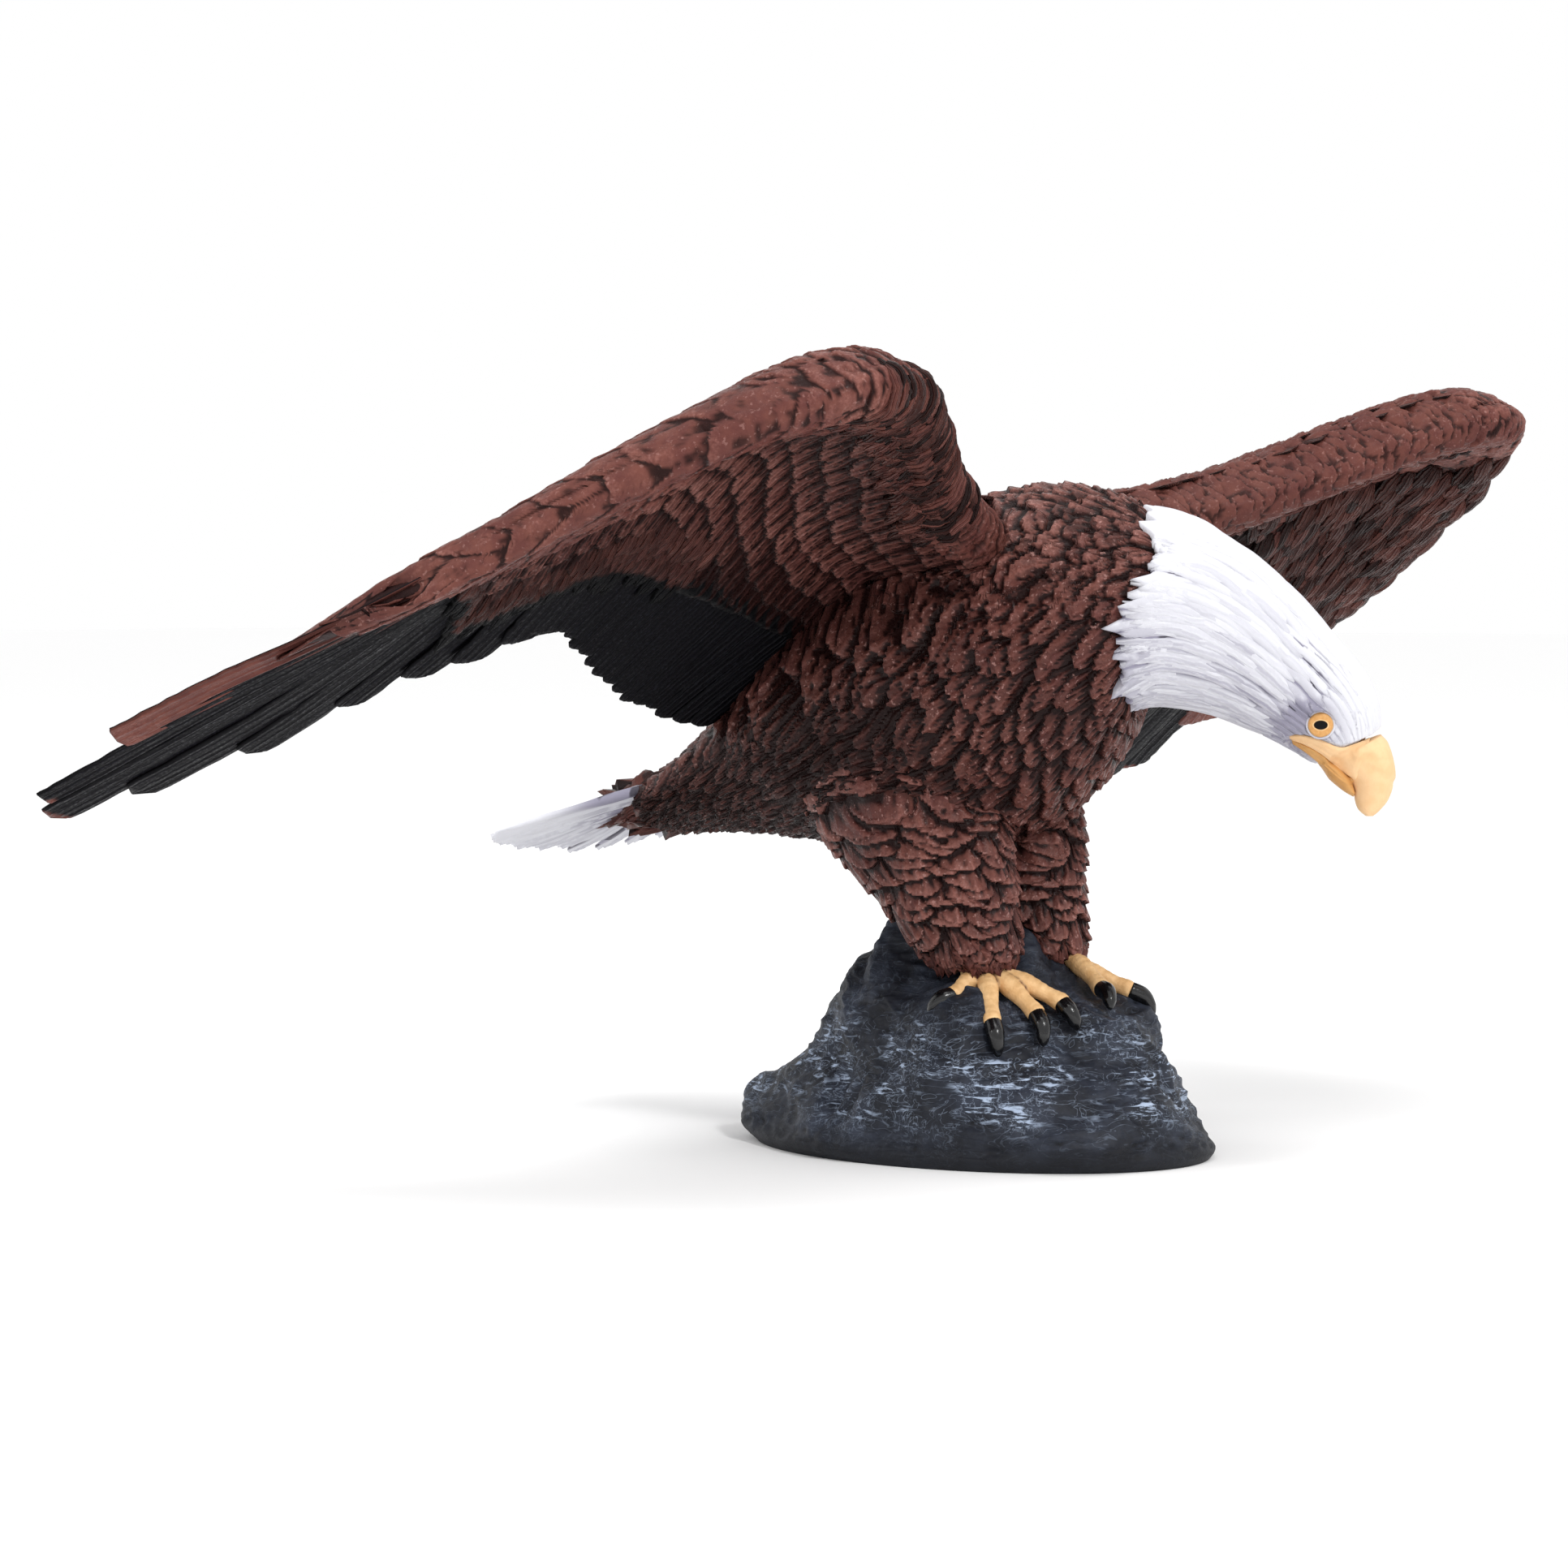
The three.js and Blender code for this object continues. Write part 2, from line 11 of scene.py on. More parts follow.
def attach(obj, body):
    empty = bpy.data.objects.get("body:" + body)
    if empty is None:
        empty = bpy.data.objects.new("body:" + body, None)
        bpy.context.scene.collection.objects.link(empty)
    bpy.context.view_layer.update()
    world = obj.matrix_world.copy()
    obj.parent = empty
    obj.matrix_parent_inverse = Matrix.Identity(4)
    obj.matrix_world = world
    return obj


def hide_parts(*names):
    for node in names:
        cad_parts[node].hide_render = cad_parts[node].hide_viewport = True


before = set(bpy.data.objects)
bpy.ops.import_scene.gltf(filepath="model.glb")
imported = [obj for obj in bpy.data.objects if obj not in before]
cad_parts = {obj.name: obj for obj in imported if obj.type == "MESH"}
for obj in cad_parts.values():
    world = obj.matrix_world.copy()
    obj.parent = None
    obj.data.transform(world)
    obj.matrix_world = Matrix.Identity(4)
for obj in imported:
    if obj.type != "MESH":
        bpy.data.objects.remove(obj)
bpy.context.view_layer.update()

# A painted toy eagle on a moulded rock. Shapes are worked out in millimetres and made in metres.
# The bird faces -Y and its left is +X. side is 1 for its left and -1 for its right.
mm = 0.001
scene = bpy.context.scene


def curveAt(rows, t):
    # smooth value of each column of a table of rows at row number t
    rows = np.asarray(rows, float)
    t = np.clip(np.asarray(t, float), 0, len(rows) - 1)
    i = np.minimum(t.astype(int), len(rows) - 2)
    f = (t - i)[..., None]
    before, start, end, after = (rows[np.clip(i + k, 0, len(rows) - 1)] for k in (-1, 0, 1, 2))
    startSlope = (end - before) / 2
    endSlope = (after - start) / 2
    bend = 3 * (end - start) - 2 * startSlope - endSlope
    return start + f * startSlope + f**2 * bend + f**3 * (2 * (start - end) + startSlope + endSlope)


def smooth(x, low, high):
    f = np.clip((np.asarray(x, float) - low) / (high - low), 0, 1)
    return f * f * (3 - 2 * f)


def unit(vectors):
    return vectors / np.maximum(np.linalg.norm(vectors, axis=-1, keepdims=True), 1e-9)


def level(stops, x):
    # value at x of a line through (x, value) stops
    places, values = zip(*stops)
    return np.interp(x, places, values)


def srgb(red, green, blue):
    # a paint colour from 0 to 255 as the linear value that nodes take
    values = np.array([red, green, blue]) / 255
    linear = np.where(values > 0.04045, ((values + 0.055) / 1.055) ** 2.4, values / 12.92)
    return (*linear.tolist(), 1.0)


# Camera, lights and floor

view = {
    "azimuth": -50,
    "elevation": 2.5,
    "distance": 0.537,
    "aim": (-0.014, 0.0197, 0.0446),
    "lens": 100,
}


def addCamera():
    turn, rise = math.radians(view["azimuth"]), math.radians(view["elevation"])
    back = Vector((math.sin(turn) * math.cos(rise), -math.cos(turn) * math.cos(rise), math.sin(rise)))
    data = bpy.data.cameras.new("camera")
    data.lens = view["lens"]
    data.sensor_width = 36
    data.clip_start = 0.01
    camera = bpy.data.objects.new("camera", data)
    camera.location = Vector(view["aim"]) + back * view["distance"]
    camera.rotation_euler = back.to_track_quat("Z", "Y").to_euler()
    scene.collection.objects.link(camera)
    scene.camera = camera


studio = {
    "sky": 1.0,
    "floorHalf": 6.0,
    "lights": [  # name, place, aim, size, power
        ("key", (-0.3, -0.8, 0.7), (0.0, 0.0, 0.05), 0.16, 4.0),
        ("top", (-0.1, -0.1, 0.95), (0.0, 0.0, 0.04), 0.5, 2.4),
        ("side", (-0.9, 0.35, 0.5), (0.0, 0.0, 0.05), 0.16, 1.4),
    ],
}


def addStudio():
    world = bpy.data.worlds.new("studio")
    scene.world = world
    world.use_nodes = True
    world.node_tree.nodes["Background"].inputs["Color"].default_value = (1, 1, 1, 1)
    world.node_tree.nodes["Background"].inputs["Strength"].default_value = studio["sky"]
    for name, place, aim, size, power in studio["lights"]:
        data = bpy.data.lights.new(name, "AREA")
        data.size = size
        data.energy = power
        lamp = bpy.data.objects.new(name, data)
        lamp.location = place
        lamp.rotation_euler = (Vector(place) - Vector(aim)).to_track_quat("Z", "Y").to_euler()
        scene.collection.objects.link(lamp)
    mesh = bpy.data.meshes.new("floor")
    half = studio["floorHalf"]
    corners = [(-half, -half, 0), (half, -half, 0), (half, half, 0), (-half, half, 0)]
    mesh.from_pydata(corners, [], [(0, 1, 2, 3)])
    floor = bpy.data.objects.new("floor", mesh)
    scene.collection.objects.link(floor)
    paint = Finish("floor_paper", roughness=0.9)
    paint.shine("Base Color", (0.985, 0.985, 0.985, 1))
    mesh.materials.append(paint.material)
    scene.view_settings.view_transform = "Standard"


# Nodes: a Wire is a socket that sums can be written with

class Wire:
    def __init__(self, graph, socket):
        self.graph = graph
        self.socket = socket

    def sum(self, operation, *values):
        return self.graph.node("ShaderNodeMath", {"operation": operation}, dict(enumerate(values)))

    def __add__(self, other):
        return self.sum("ADD", self, other)

    def __sub__(self, other):
        return self.sum("SUBTRACT", self, other)

    def __rsub__(self, other):
        return self.sum("SUBTRACT", other, self)

    def __mul__(self, other):
        return self.sum("MULTIPLY", self, other)

    def __truediv__(self, other):
        return self.sum("DIVIDE", self, other)

    def __pow__(self, other):
        return self.sum("POWER", self, other)

    def __abs__(self):
        return self.sum("ABSOLUTE", self)

    def wave(self):
        return self.sum("SINE", self)

    def most(self, other):
        return self.sum("MAXIMUM", self, other)

    def least(self, other):
        return self.sum("MINIMUM", self, other)

    def step(self, low, high):
        # 0 below low and 1 above high, with a soft change between
        limits = {0: self, 1: low, 2: high, 3: 0.0, 4: 1.0}
        return self.graph.node("ShaderNodeMapRange", {"interpolation_type": "SMOOTHSTEP"}, limits)

    __radd__ = __add__
    __rmul__ = __mul__


class Graph:
    # adds nodes to a shader tree or a geometry tree
    def __init__(self, tree):
        self.tree = tree

    def node(self, kind, settings=None, inputs=None, output=0):
        made = self.tree.nodes.new(kind)
        for key, value in (settings or {}).items():
            setattr(made, key, value)
        for key, value in (inputs or {}).items():
            self.plug(made.inputs[key], value)
        return Wire(self, made.outputs[output])

    def plug(self, socket, value):
        if isinstance(value, Wire):
            self.tree.links.new(value.socket, socket)
        else:
            socket.default_value = value


class Finish(Graph):
    # one material: a principled shader and the nodes that feed it
    def __init__(self, name, roughness=0.5, coat=0.0, specular=0.5):
        self.material = bpy.data.materials.new(name)
        self.material.use_nodes = True
        super().__init__(self.material.node_tree)
        self.shader = self.tree.nodes["Principled BSDF"]
        self.shader.inputs["Roughness"].default_value = roughness
        self.shader.inputs["Coat Weight"].default_value = coat
        self.shader.inputs["Coat Roughness"].default_value = 0.15
        self.shader.inputs["Specular IOR Level"].default_value = specular
        self.place = self.node("ShaderNodeTexCoord", output=3)

    def shine(self, socket, value):
        self.plug(self.shader.inputs[socket], value)

    def speckle(self, size, detail=3.0, rough=0.55):
        # grains of about that size in millimetres, from 0 to 1
        grain = {"Vector": self.place, "Scale": 1 / (size * mm), "Detail": detail, "Roughness": rough}
        return self.node("ShaderNodeTexNoise", None, grain)

    def mix(self, share, low, high):
        return self.node("ShaderNodeMix", {"data_type": "RGBA"}, {0: share, 6: low, 7: high}, 2)

    def attribute(self, name):
        return self.node("ShaderNodeAttribute", {"attribute_name": name}, None, 2)

    def vane(self):
        # place on a feather: across from 0 to 1, and along from root to tip
        spot = self.node("ShaderNodeUVMap", {"uv_map": "Vane"})
        return [self.node("ShaderNodeSeparateXYZ", None, {0: spot}, k) for k in (0, 1)]

    def bump(self, height, depth):
        # depth in millimetres
        made = self.node("ShaderNodeBump", None, {"Strength": 1.0, "Distance": depth * mm, "Height": height})
        self.shine("Normal", made)


# Paints

brown = {
    # deep is the toy's dark wash and painted shade
    "deep": srgb(30, 14, 13),
    "base": srgb(92, 53, 49),
    "warm": srgb(110, 66, 58),
    # the pale of worn, dry-brushed edges, and of painted light
    "wearAndLight": srgb(158, 108, 99),
    "ink": srgb(15, 14, 17),
    "inkLine": srgb(30, 30, 37),
    "inkDeep": srgb(8, 8, 10),
    "skin": srgb(58, 34, 32),
    "skinInk": srgb(12, 11, 14),
    # the pale of painted glints, small specks standing in for highlights
    "paintedGlint": srgb(182, 140, 133),
    "barbs": 30,
    "barbDepth": 0.2,
}


def plumagePaint(name, grooves, relief, specular, flecks=0.0, rough=0.46):
    # brown to black paint over moulded barbs: dark in the creases, the toy's dark wash with painted shade, and
    # pale on the worn edges, dry-brushed wear with painted light
    paint = Finish(name, roughness=0.5, specular=specular)
    across, along = paint.vane()
    ink = paint.attribute("ink")
    wearAndLight = paint.attribute("wearAndLight")
    shade = paint.attribute("shade")
    grain = paint.speckle(1.6)
    fine = paint.speckle(0.35, 4.0)
    patch = paint.speckle(9.0, 2.0)
    spread = (across - 0.5) * (1.35 - along * 0.35)
    barbs = ((spread * grooves + along * 2.0 + grain * 5.0).wave() * 0.5 + 0.5) ** 1.5
    edge = abs(across - 0.5) * 2
    # painted shadow on the walls under each feather's tip and sides
    wall = edge.step(1.0, 1.15).most(along.step(1.0, 1.1))
    # darker at the root under the feather before and at the side edges: the toy's dark wash and painted shade
    crease = ((1 - along.step(0.36, 0.5)) * 0.6).most(edge.step(0.8, 1.0) * 0.5).most(wall * 1.1)
    base = paint.mix((grain * 0.6 + patch * 0.4).step(0.35, 0.65), brown["base"], brown["warm"])
    # pale on the tips, on raised grain and where the worn number is high: dry-brushed wear, and painted light
    # on the wing's band and the body's top
    rubAndLight = wearAndLight + (along.step(0.6, 0.95) - 0.6) * 0.35 + (fine - 0.5) * 0.9 + (patch - 0.5) * 0.6
    base = paint.mix(rubAndLight.step(0.15, 1.1), base, brown["wearAndLight"])
    black = paint.mix(barbs * fine.step(0.4, 0.75), brown["ink"], brown["inkLine"])
    colour = paint.mix((ink + (fine - 0.5) * 0.35).step(0.3, 0.7), base, black)
    # creases, barb grooves and the shade number darken towards deep: the toy's dark wash and painted shade
    dark = (crease * 0.9 + (1 - barbs) * 0.24 + shade).step(0.0, 1.25)
    colour = paint.mix(dark, colour, paint.mix(ink.step(0.3, 0.7), brown["deep"], brown["inkDeep"]))
    # painted glints: pale specks on the lit, raised parts standing in for highlights
    if flecks > 0:
        glint = paint.speckle(0.55, 3.0).step(0.6, 0.68)
        colour = paint.mix(glint * flecks * (1 - ink) * (1 - shade.step(0.35, 1.0)), colour, brown["paintedGlint"])
    paint.shine("Base Color", colour)
    paint.shine("Roughness", rough - fine.step(0.45, 0.7) * 0.26 + ink * 0.14)
    paint.bump(barbs + fine * 0.4 + grain * 0.3, relief)
    return paint.material


white = {
    "base": srgb(214, 214, 220),
    # lilac grey of the wash, and of painted shade on the white
    "wash": srgb(140, 137, 154),
    "dash": srgb(48, 44, 52),
}


def whitePaint(name, relief):
    # white paint with a lilac wash in the grooves and a few dark dashes; the same lilac grey is painted shade
    # on the lower neck, the tail's underside and round the eye
    paint = Finish(name, roughness=0.55, specular=0.25)
    across, along = paint.vane()
    wash = paint.attribute("wash")
    shade = paint.attribute("shade")
    grain = paint.speckle(2.2)
    fine = paint.speckle(0.4, 4.0)
    edge = abs(across - 0.5) * 2
    groove = edge.step(0.45, 1.0)
    strand = ((across * 9.0 + grain * 6.0).wave() * 0.5 + 0.5).step(0.55, 1.0)
    tint = (wash * (0.35 + groove * 0.9 + strand * 0.4) + groove * 0.08 + shade).step(0.05, 1.35)
    colour = paint.mix(tint, white["base"], white["wash"])
    dash = groove.step(0.5, 0.95) * wash.step(0.35, 0.8) * paint.speckle(3.0, 1.0).step(0.53, 0.6)
    paint.shine("Base Color", paint.mix(dash * 0.85, colour, white["dash"]))
    paint.shine("Roughness", 0.6 - fine * 0.15)
    paint.bump(fine * 0.6 + (1 - strand) * 0.6 + grain * 0.3, relief)
    return paint.material


def skinPaint():
    # the same markings as the coat, seen only between the feathers; the body's brown is dark there, the toy's
    # dark wash with painted shade in the gaps
    paint = Finish("skin_paint", roughness=0.6, specular=0.1)
    hood = paint.attribute("hood")
    ink = paint.attribute("ink")
    grain = paint.speckle(1.2)
    body = paint.mix(ink, paint.mix(grain, brown["deep"], brown["skin"]), brown["skinInk"])
    head = paint.mix(grain.step(0.4, 0.8) * 0.3, white["base"], white["wash"])
    paint.shine("Base Color", paint.mix(hood, body, head))
    paint.bump(grain + paint.speckle(0.4), 0.15)
    return paint.material


# Shapes of the body, as on the solids

neckTurn = 38  # degrees to the bird's left
neckRoot = (0, -24.5)
hoodEdge = 9  # rows of the spine where the white begins and where the head ends
faceRow = 16


def onHead(along, height, out=0.0):
    # a point in the head's own plane, and out from it
    turn = math.radians(neckTurn)
    return [
        neckRoot[0] + along * math.sin(turn) + out * math.cos(turn),
        neckRoot[1] - along * math.cos(turn) + out * math.sin(turn),
        height,
    ]


def headRow(topAlong, topZ, bottomAlong, bottomZ, halfWidth):
    return [*onHead(topAlong, topZ), *onHead(bottomAlong, bottomZ), halfWidth, neckTurn]


def bodyRow(topY, topZ, bottomY, bottomZ, halfWidth, turn):
    return [0, topY, topZ, 0, bottomY, bottomZ, halfWidth, turn]


spine = [  # from the tail's root to the face
    bodyRow(57, 41.6, 54.5, 37.8, 5.5, 0),
    bodyRow(52, 43.6, 49, 38, 8.2, 0),
    bodyRow(43, 47.6, 40, 38.8, 11, 0),
    bodyRow(33, 55.6, 29, 38.5, 13.6, 0),
    bodyRow(22, 65.8, 17, 37.6, 16.8, 0),
    bodyRow(11, 74.2, 5, 37.2, 18, 0),
    bodyRow(0, 79, -6, 39.4, 18, 0),
    bodyRow(-11, 80.8, -14, 44.6, 17.2, 5),
    bodyRow(-19, 79.8, -20, 50.8, 15, 18),
    headRow(0.8, 77.8, -0.8, 55.4, 11.8),
    headRow(6.8, 76.4, 4.8, 55.5, 10.3),
    headRow(13, 72.8, 9.6, 54.2, 8.8),
    headRow(18.6, 67.8, 13.8, 52.1, 7.5),
    headRow(22.8, 62.9, 16.9, 50.2, 6.6),
    headRow(26.2, 59, 18.9, 48.7, 6),
    headRow(28, 55.2, 20, 47.9, 5.1),
    headRow(28.3, 51.9, 20.5, 47.5, 4.1),
]
thighRings = [  # height, centre x and y, half width, half length
    [54, 7.4, 6.5, 7, 11],
    [46, 7.9, 7, 7.5, 13.2],
    [38, 7.4, 3.8, 7, 12.6],
    [33, 7, 0.9, 6.6, 9.9],
    [27.5, 6.9, -2.3, 5.7, 7],
    [23.2, 7, -4.6, 4.8, 5],
]


def bodyPoint(t, angle, lift=0.0):
    # angle 0 is the back, a quarter turn the bird's left
    t, angle = np.broadcast_arrays(np.asarray(t, float), np.asarray(angle, float))
    row = curveAt(spine, t)
    top, bottom = row[..., :3], row[..., 3:6]
    up = (top - bottom) / 2
    half = np.linalg.norm(up, axis=-1, keepdims=True)
    turn = np.radians(row[..., 7])
    out = np.stack([np.cos(turn), np.sin(turn), 0 * turn], -1) * (row[..., 6:7] + lift)
    aside = out * np.sin(angle)[..., None]
    return (top + bottom) / 2 + up * (1 + lift / half) * np.cos(angle)[..., None] + aside


def thighPoint(side, t, angle, lift=0.0):
    # angle 0 is the front, a quarter turn the outside
    t, angle = np.broadcast_arrays(np.asarray(t, float), np.asarray(angle, float))
    row = curveAt(thighRings, t)
    x = row[..., 1] + (row[..., 3] + lift) * np.sin(angle)
    y = row[..., 2] - (row[..., 4] + lift) * np.cos(angle)
    return np.stack([side * x, y, row[..., 0]], -1)


wing = {
    "frontEdge": [  # from the shoulder round the wrist to the outermost primary's root
        [8, -12, 74], [21, -15.4, 77], [34, -21.3, 80.9], [46, -28.6, 85.8], [57, -34.8, 89.6],
        [65.5, -35.4, 90], [73.4, -29.4, 87], [79.8, -20, 82.3], [85.2, -9.7, 77], [89.4, 0.5, 71.7],
        [93.2, 10, 67],
    ],
    "tips": [
        [12.5, 34.4, 50.9], [21, 35.2, 52.9], [32, 31.5, 55.2], [42, 26.6, 59.3], [50, 22.8, 62.7],
        [56, 22.4, 62.9], [62.3, 27.2, 59.8], [70.5, 36.3, 55.2], [81, 45, 49.6], [100.8, 56.6, 42.7],
        [105.8, 38.6, 52.3],
    ],
    "edgeHalf": [[5.5], [4], [3.4], [3.3], [3.3], [3.2], [2.9], [2.6], [2.2], [1.9], [1.6]],
    "wrist": 0.5,
    "flesh": 0.42,  # share of a feather line that the flesh takes
    "blade": 0.62,  # half the thickness of the feathers behind the flesh
    "camber": 0.085,
    "tipCamber": 0.015,
    "leftDroop": 2.5,
    "span": 132,  # length of the front edge
}


def wingPoint(side, s, v, face, lift=0.0):
    # s runs along the wing, v from the front edge to the feather tips; face is 1 on top, -1 under
    s, v = np.broadcast_arrays(np.asarray(s, float), np.asarray(v, float))
    rows = len(wing["tips"]) - 1
    front = curveAt(wing["frontEdge"], s * rows)
    chord = curveAt(wing["tips"], s * rows) - front
    along = 0
    for sign, t in ((1, np.clip(s + 0.03, 0, 1)), (-1, np.clip(s - 0.03, 0, 1))):
        along = along + sign * (curveAt(wing["frontEdge"], t * rows) + curveAt(wing["tips"], t * rows))
    normal = unit(np.cross(along, chord))
    if side > 0:
        chord = chord - np.stack([0 * s, 0 * s, wing["leftDroop"] * smooth(s, wing["wrist"], 0.8)], -1)
    length = np.linalg.norm(chord, axis=-1)
    share = wing["camber"] + (wing["tipCamber"] - wing["camber"]) * smooth(s, wing["wrist"], 0.9)
    bend = share * length * np.sin(np.pi * np.clip(v, 0, 1) ** 0.75)
    edge = curveAt(wing["edgeHalf"], s * rows)[..., 0]
    blunt = 0.35 + 0.65 * np.sqrt(np.clip(v / 0.055, 0, 1))
    fade = smooth(v, 0.07, 0.42)
    half = (edge * (1 - fade) + wing["blade"] * fade) * blunt
    return (front + chord * v[..., None] + normal * (bend + face * (half + lift))[..., None]) * [side, 1, 1]


# Mesh making

def makeMesh(name, points, faces, maps=None, values=None):
    # points in millimetres; maps are UV maps given for each point, values are numbers for each point
    mesh = bpy.data.meshes.new(name)
    mesh.from_pydata((np.asarray(points, float).reshape(-1, 3) * mm).tolist(), [], faces)
    mesh.polygons.foreach_set("use_smooth", [True] * len(mesh.polygons))
    corners = np.empty(len(mesh.loops), int)
    mesh.loops.foreach_get("vertex_index", corners)
    for key, spots in (maps or {}).items():
        layer = mesh.uv_layers.new(name=key)
        layer.data.foreach_set("uv", np.asarray(spots, np.float32).reshape(-1, 2)[corners].ravel())
    for key, numbers in (values or {}).items():
        layer = mesh.attributes.new(key, "FLOAT", "POINT")
        layer.data.foreach_set("value", np.asarray(numbers, np.float32).ravel())
    return mesh


def addPiece(name, mesh, material, slot, *replaced):
    obj = bpy.data.objects.new(name, mesh)
    scene.collection.objects.link(obj)
    mesh.materials.clear()
    mesh.materials.append(material)
    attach(obj, "root")
    if replaced:
        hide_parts(*replaced)
    print("made", name, len(mesh.polygons), "faces", flush=True)
    return obj


def turnOut(mesh):
    # makes a closed mesh's faces point outwards
    made = bmesh.new()
    made.from_mesh(mesh)
    bmesh.ops.recalc_face_normals(made, faces=made.faces)
    made.to_mesh(mesh)
    made.free()
    return mesh


def tubeFaces(rings, around):
    faces = []
    for r in range(rings - 1):
        for k in range(around):
            a, b = r * around + k, r * around + (k + 1) % around
            faces.append((a, b, b + around, a + around))
    faces.append(tuple(range(around))[::-1])
    faces.append(tuple(range((rings - 1) * around, rings * around)))
    return faces


def slabFaces(rows, columns, first=0):
    # two grids, upper then lower, closed round their border
    under = first + rows * columns
    faces = []
    for r in range(rows - 1):
        for c in range(columns - 1):
            a = r * columns + c
            square = (a, a + columns, a + columns + 1, a + 1)
            faces.append(tuple(first + k for k in square))
            faces.append(tuple(under + k for k in square[::-1]))
    border = list(range(columns - 1))
    border += [r * columns + columns - 1 for r in range(rows - 1)]
    border += [(rows - 1) * columns + c for c in range(columns - 1, 0, -1)]
    border += [r * columns for r in range(rows - 1, 0, -1)]
    for k, a in enumerate(border):
        b = border[(k + 1) % len(border)]
        faces.append((first + a, first + b, under + b, under + a))
    return faces


def applied(obj):
    # the mesh that an object's modifiers make; the object goes
    mesh = bpy.data.meshes.new_from_object(obj.evaluated_get(bpy.context.evaluated_depsgraph_get()))
    bpy.data.objects.remove(obj)
    mesh.polygons.foreach_set("use_smooth", [True] * len(mesh.polygons))
    return mesh


def fuse(name, parts, voxel, factor, rounds):
    # one closed mesh round closed parts that overlap, each given as points and faces
    points, faces = [], []
    for spots, patch in parts:
        first = sum(len(p) for p in points)
        mesh = turnOut(makeMesh("part", spots, patch))
        points.append(np.array([v.co for v in mesh.vertices]) / mm)
        faces += [tuple(first + k for k in polygon.vertices) for polygon in mesh.polygons]
        bpy.data.meshes.remove(mesh)
    obj = bpy.data.objects.new(name, makeMesh(name, np.concatenate(points), faces))
    scene.collection.objects.link(obj)
    remesh = obj.modifiers.new("remesh", "REMESH")
    remesh.mode = "VOXEL"
    remesh.voxel_size = voxel * mm
    soften = obj.modifiers.new("soften", "SMOOTH")
    soften.factor = factor
    soften.iterations = rounds
    return applied(obj)


# Skin: one closed mesh for the flesh

skin = {
    "around": 72,
    "bodyRings": 150,
    "thighRings": 34,
    "wingLines": 80,
    "voxel": 0.72,
    "soften": 0.6,
    "rounds": 7,
    "depth": 0.45,  # how far it lies under the coat
    "headDepth": 0.3,
}


def skinMesh():
    around = skin["around"]
    angles = np.arange(around) * 2 * np.pi / around
    bodyRows = np.linspace(0, faceRow, skin["bodyRings"])[:, None]
    parts = [(bodyPoint(bodyRows, angles), tubeFaces(skin["bodyRings"], around))]
    thighRows = np.linspace(0, len(thighRings) - 1, skin["thighRings"])[:, None]
    shares = np.concatenate([np.linspace(0, 0.08, 10)[:-1], np.linspace(0.08, wing["flesh"], 18)])
    lines = np.linspace(0, 1, skin["wingLines"])
    for side in (1, -1):
        parts.append((thighPoint(side, thighRows, angles), tubeFaces(skin["thighRings"], around)))
        sheets = [wingPoint(side, lines[None], shares[:, None], face).reshape(-1, 3) for face in (1, -1)]
        parts.append((np.concatenate(sheets), slabFaces(len(shares), len(lines))))
    return fuse("skin_draft", parts, skin["voxel"], skin["soften"], skin["rounds"])


class Ground:
    # the outer surface of the flesh, which feathers are laid on
    def __init__(self, mesh):
        self.tree = BVHTree.FromPolygons([v.co for v in mesh.vertices], [p.vertices for p in mesh.polygons])

    def nearest(self, points):
        # place, outward normal and height over the surface of each point
        flat = np.asarray(points, float).reshape(-1, 3)
        found = [self.tree.find_nearest(Vector(p * mm)) for p in flat]
        spots = np.array([f[0] for f in found]) / mm
        normals = np.array([f[1] for f in found])
        height = ((flat - spots) * normals).sum(-1)
        shape = np.shape(points)
        return spots.reshape(shape), normals.reshape(shape), height.reshape(shape[:-1])

    def hit(self, point, direction):
        found = self.tree.ray_cast(Vector(point) * mm, Vector(direction))
        return None if found[0] is None else (np.array(found[0]) / mm, np.array(found[1]))


def hoodShare(points):
    # 1 on the white hood and 0 on the brown body
    edge = np.array(bodyPoint(hoodEdge, np.array([0.0, np.pi])))
    middle = edge.mean(0)
    turn = math.radians(neckTurn - 8)
    forward = np.array([math.sin(turn), -math.cos(turn), 0.0])
    aside = np.array([math.cos(turn), math.sin(turn), 0.0])
    away = np.asarray(points) - middle
    return smooth(away @ forward, -0.3, 0.3) * (np.abs(away @ aside) < 14)


def makeSkin():
    mesh = skinMesh()
    ground = Ground(mesh)
    points = np.array([v.co for v in mesh.vertices]) / mm
    normals = np.array([v.normal for v in mesh.vertices])
    hood = hoodShare(points)
    depth = skin["depth"] + (skin["headDepth"] - skin["depth"]) * hood
    mesh.vertices.foreach_set("co", ((points - normals * depth[:, None]) * mm).ravel())
    out = np.abs(points[:, 0])
    values = {"hood": hood, "ink": smooth(out, 30, 40) * 0.3}
    for key, numbers in values.items():
        mesh.attributes.new(key, "FLOAT", "POINT").data.foreach_set("value", numbers.astype(np.float32))
    flesh = [f"{part}_{name}" for part in ("thigh", "wing_forearm", "wing_hand") for name in ("left", "right")]
    addPiece("skin", mesh, skinPaint(), "brown_plumage", "trunk", "neck", "head", *flesh)
    return ground


# Vanes: the small feather that the coat repeats

vane = {"columns": 11, "rows": 5, "crown": 0.4, "sink": 0.9}
bakePatch = 0.003  # side of one feather's patch on the bake map


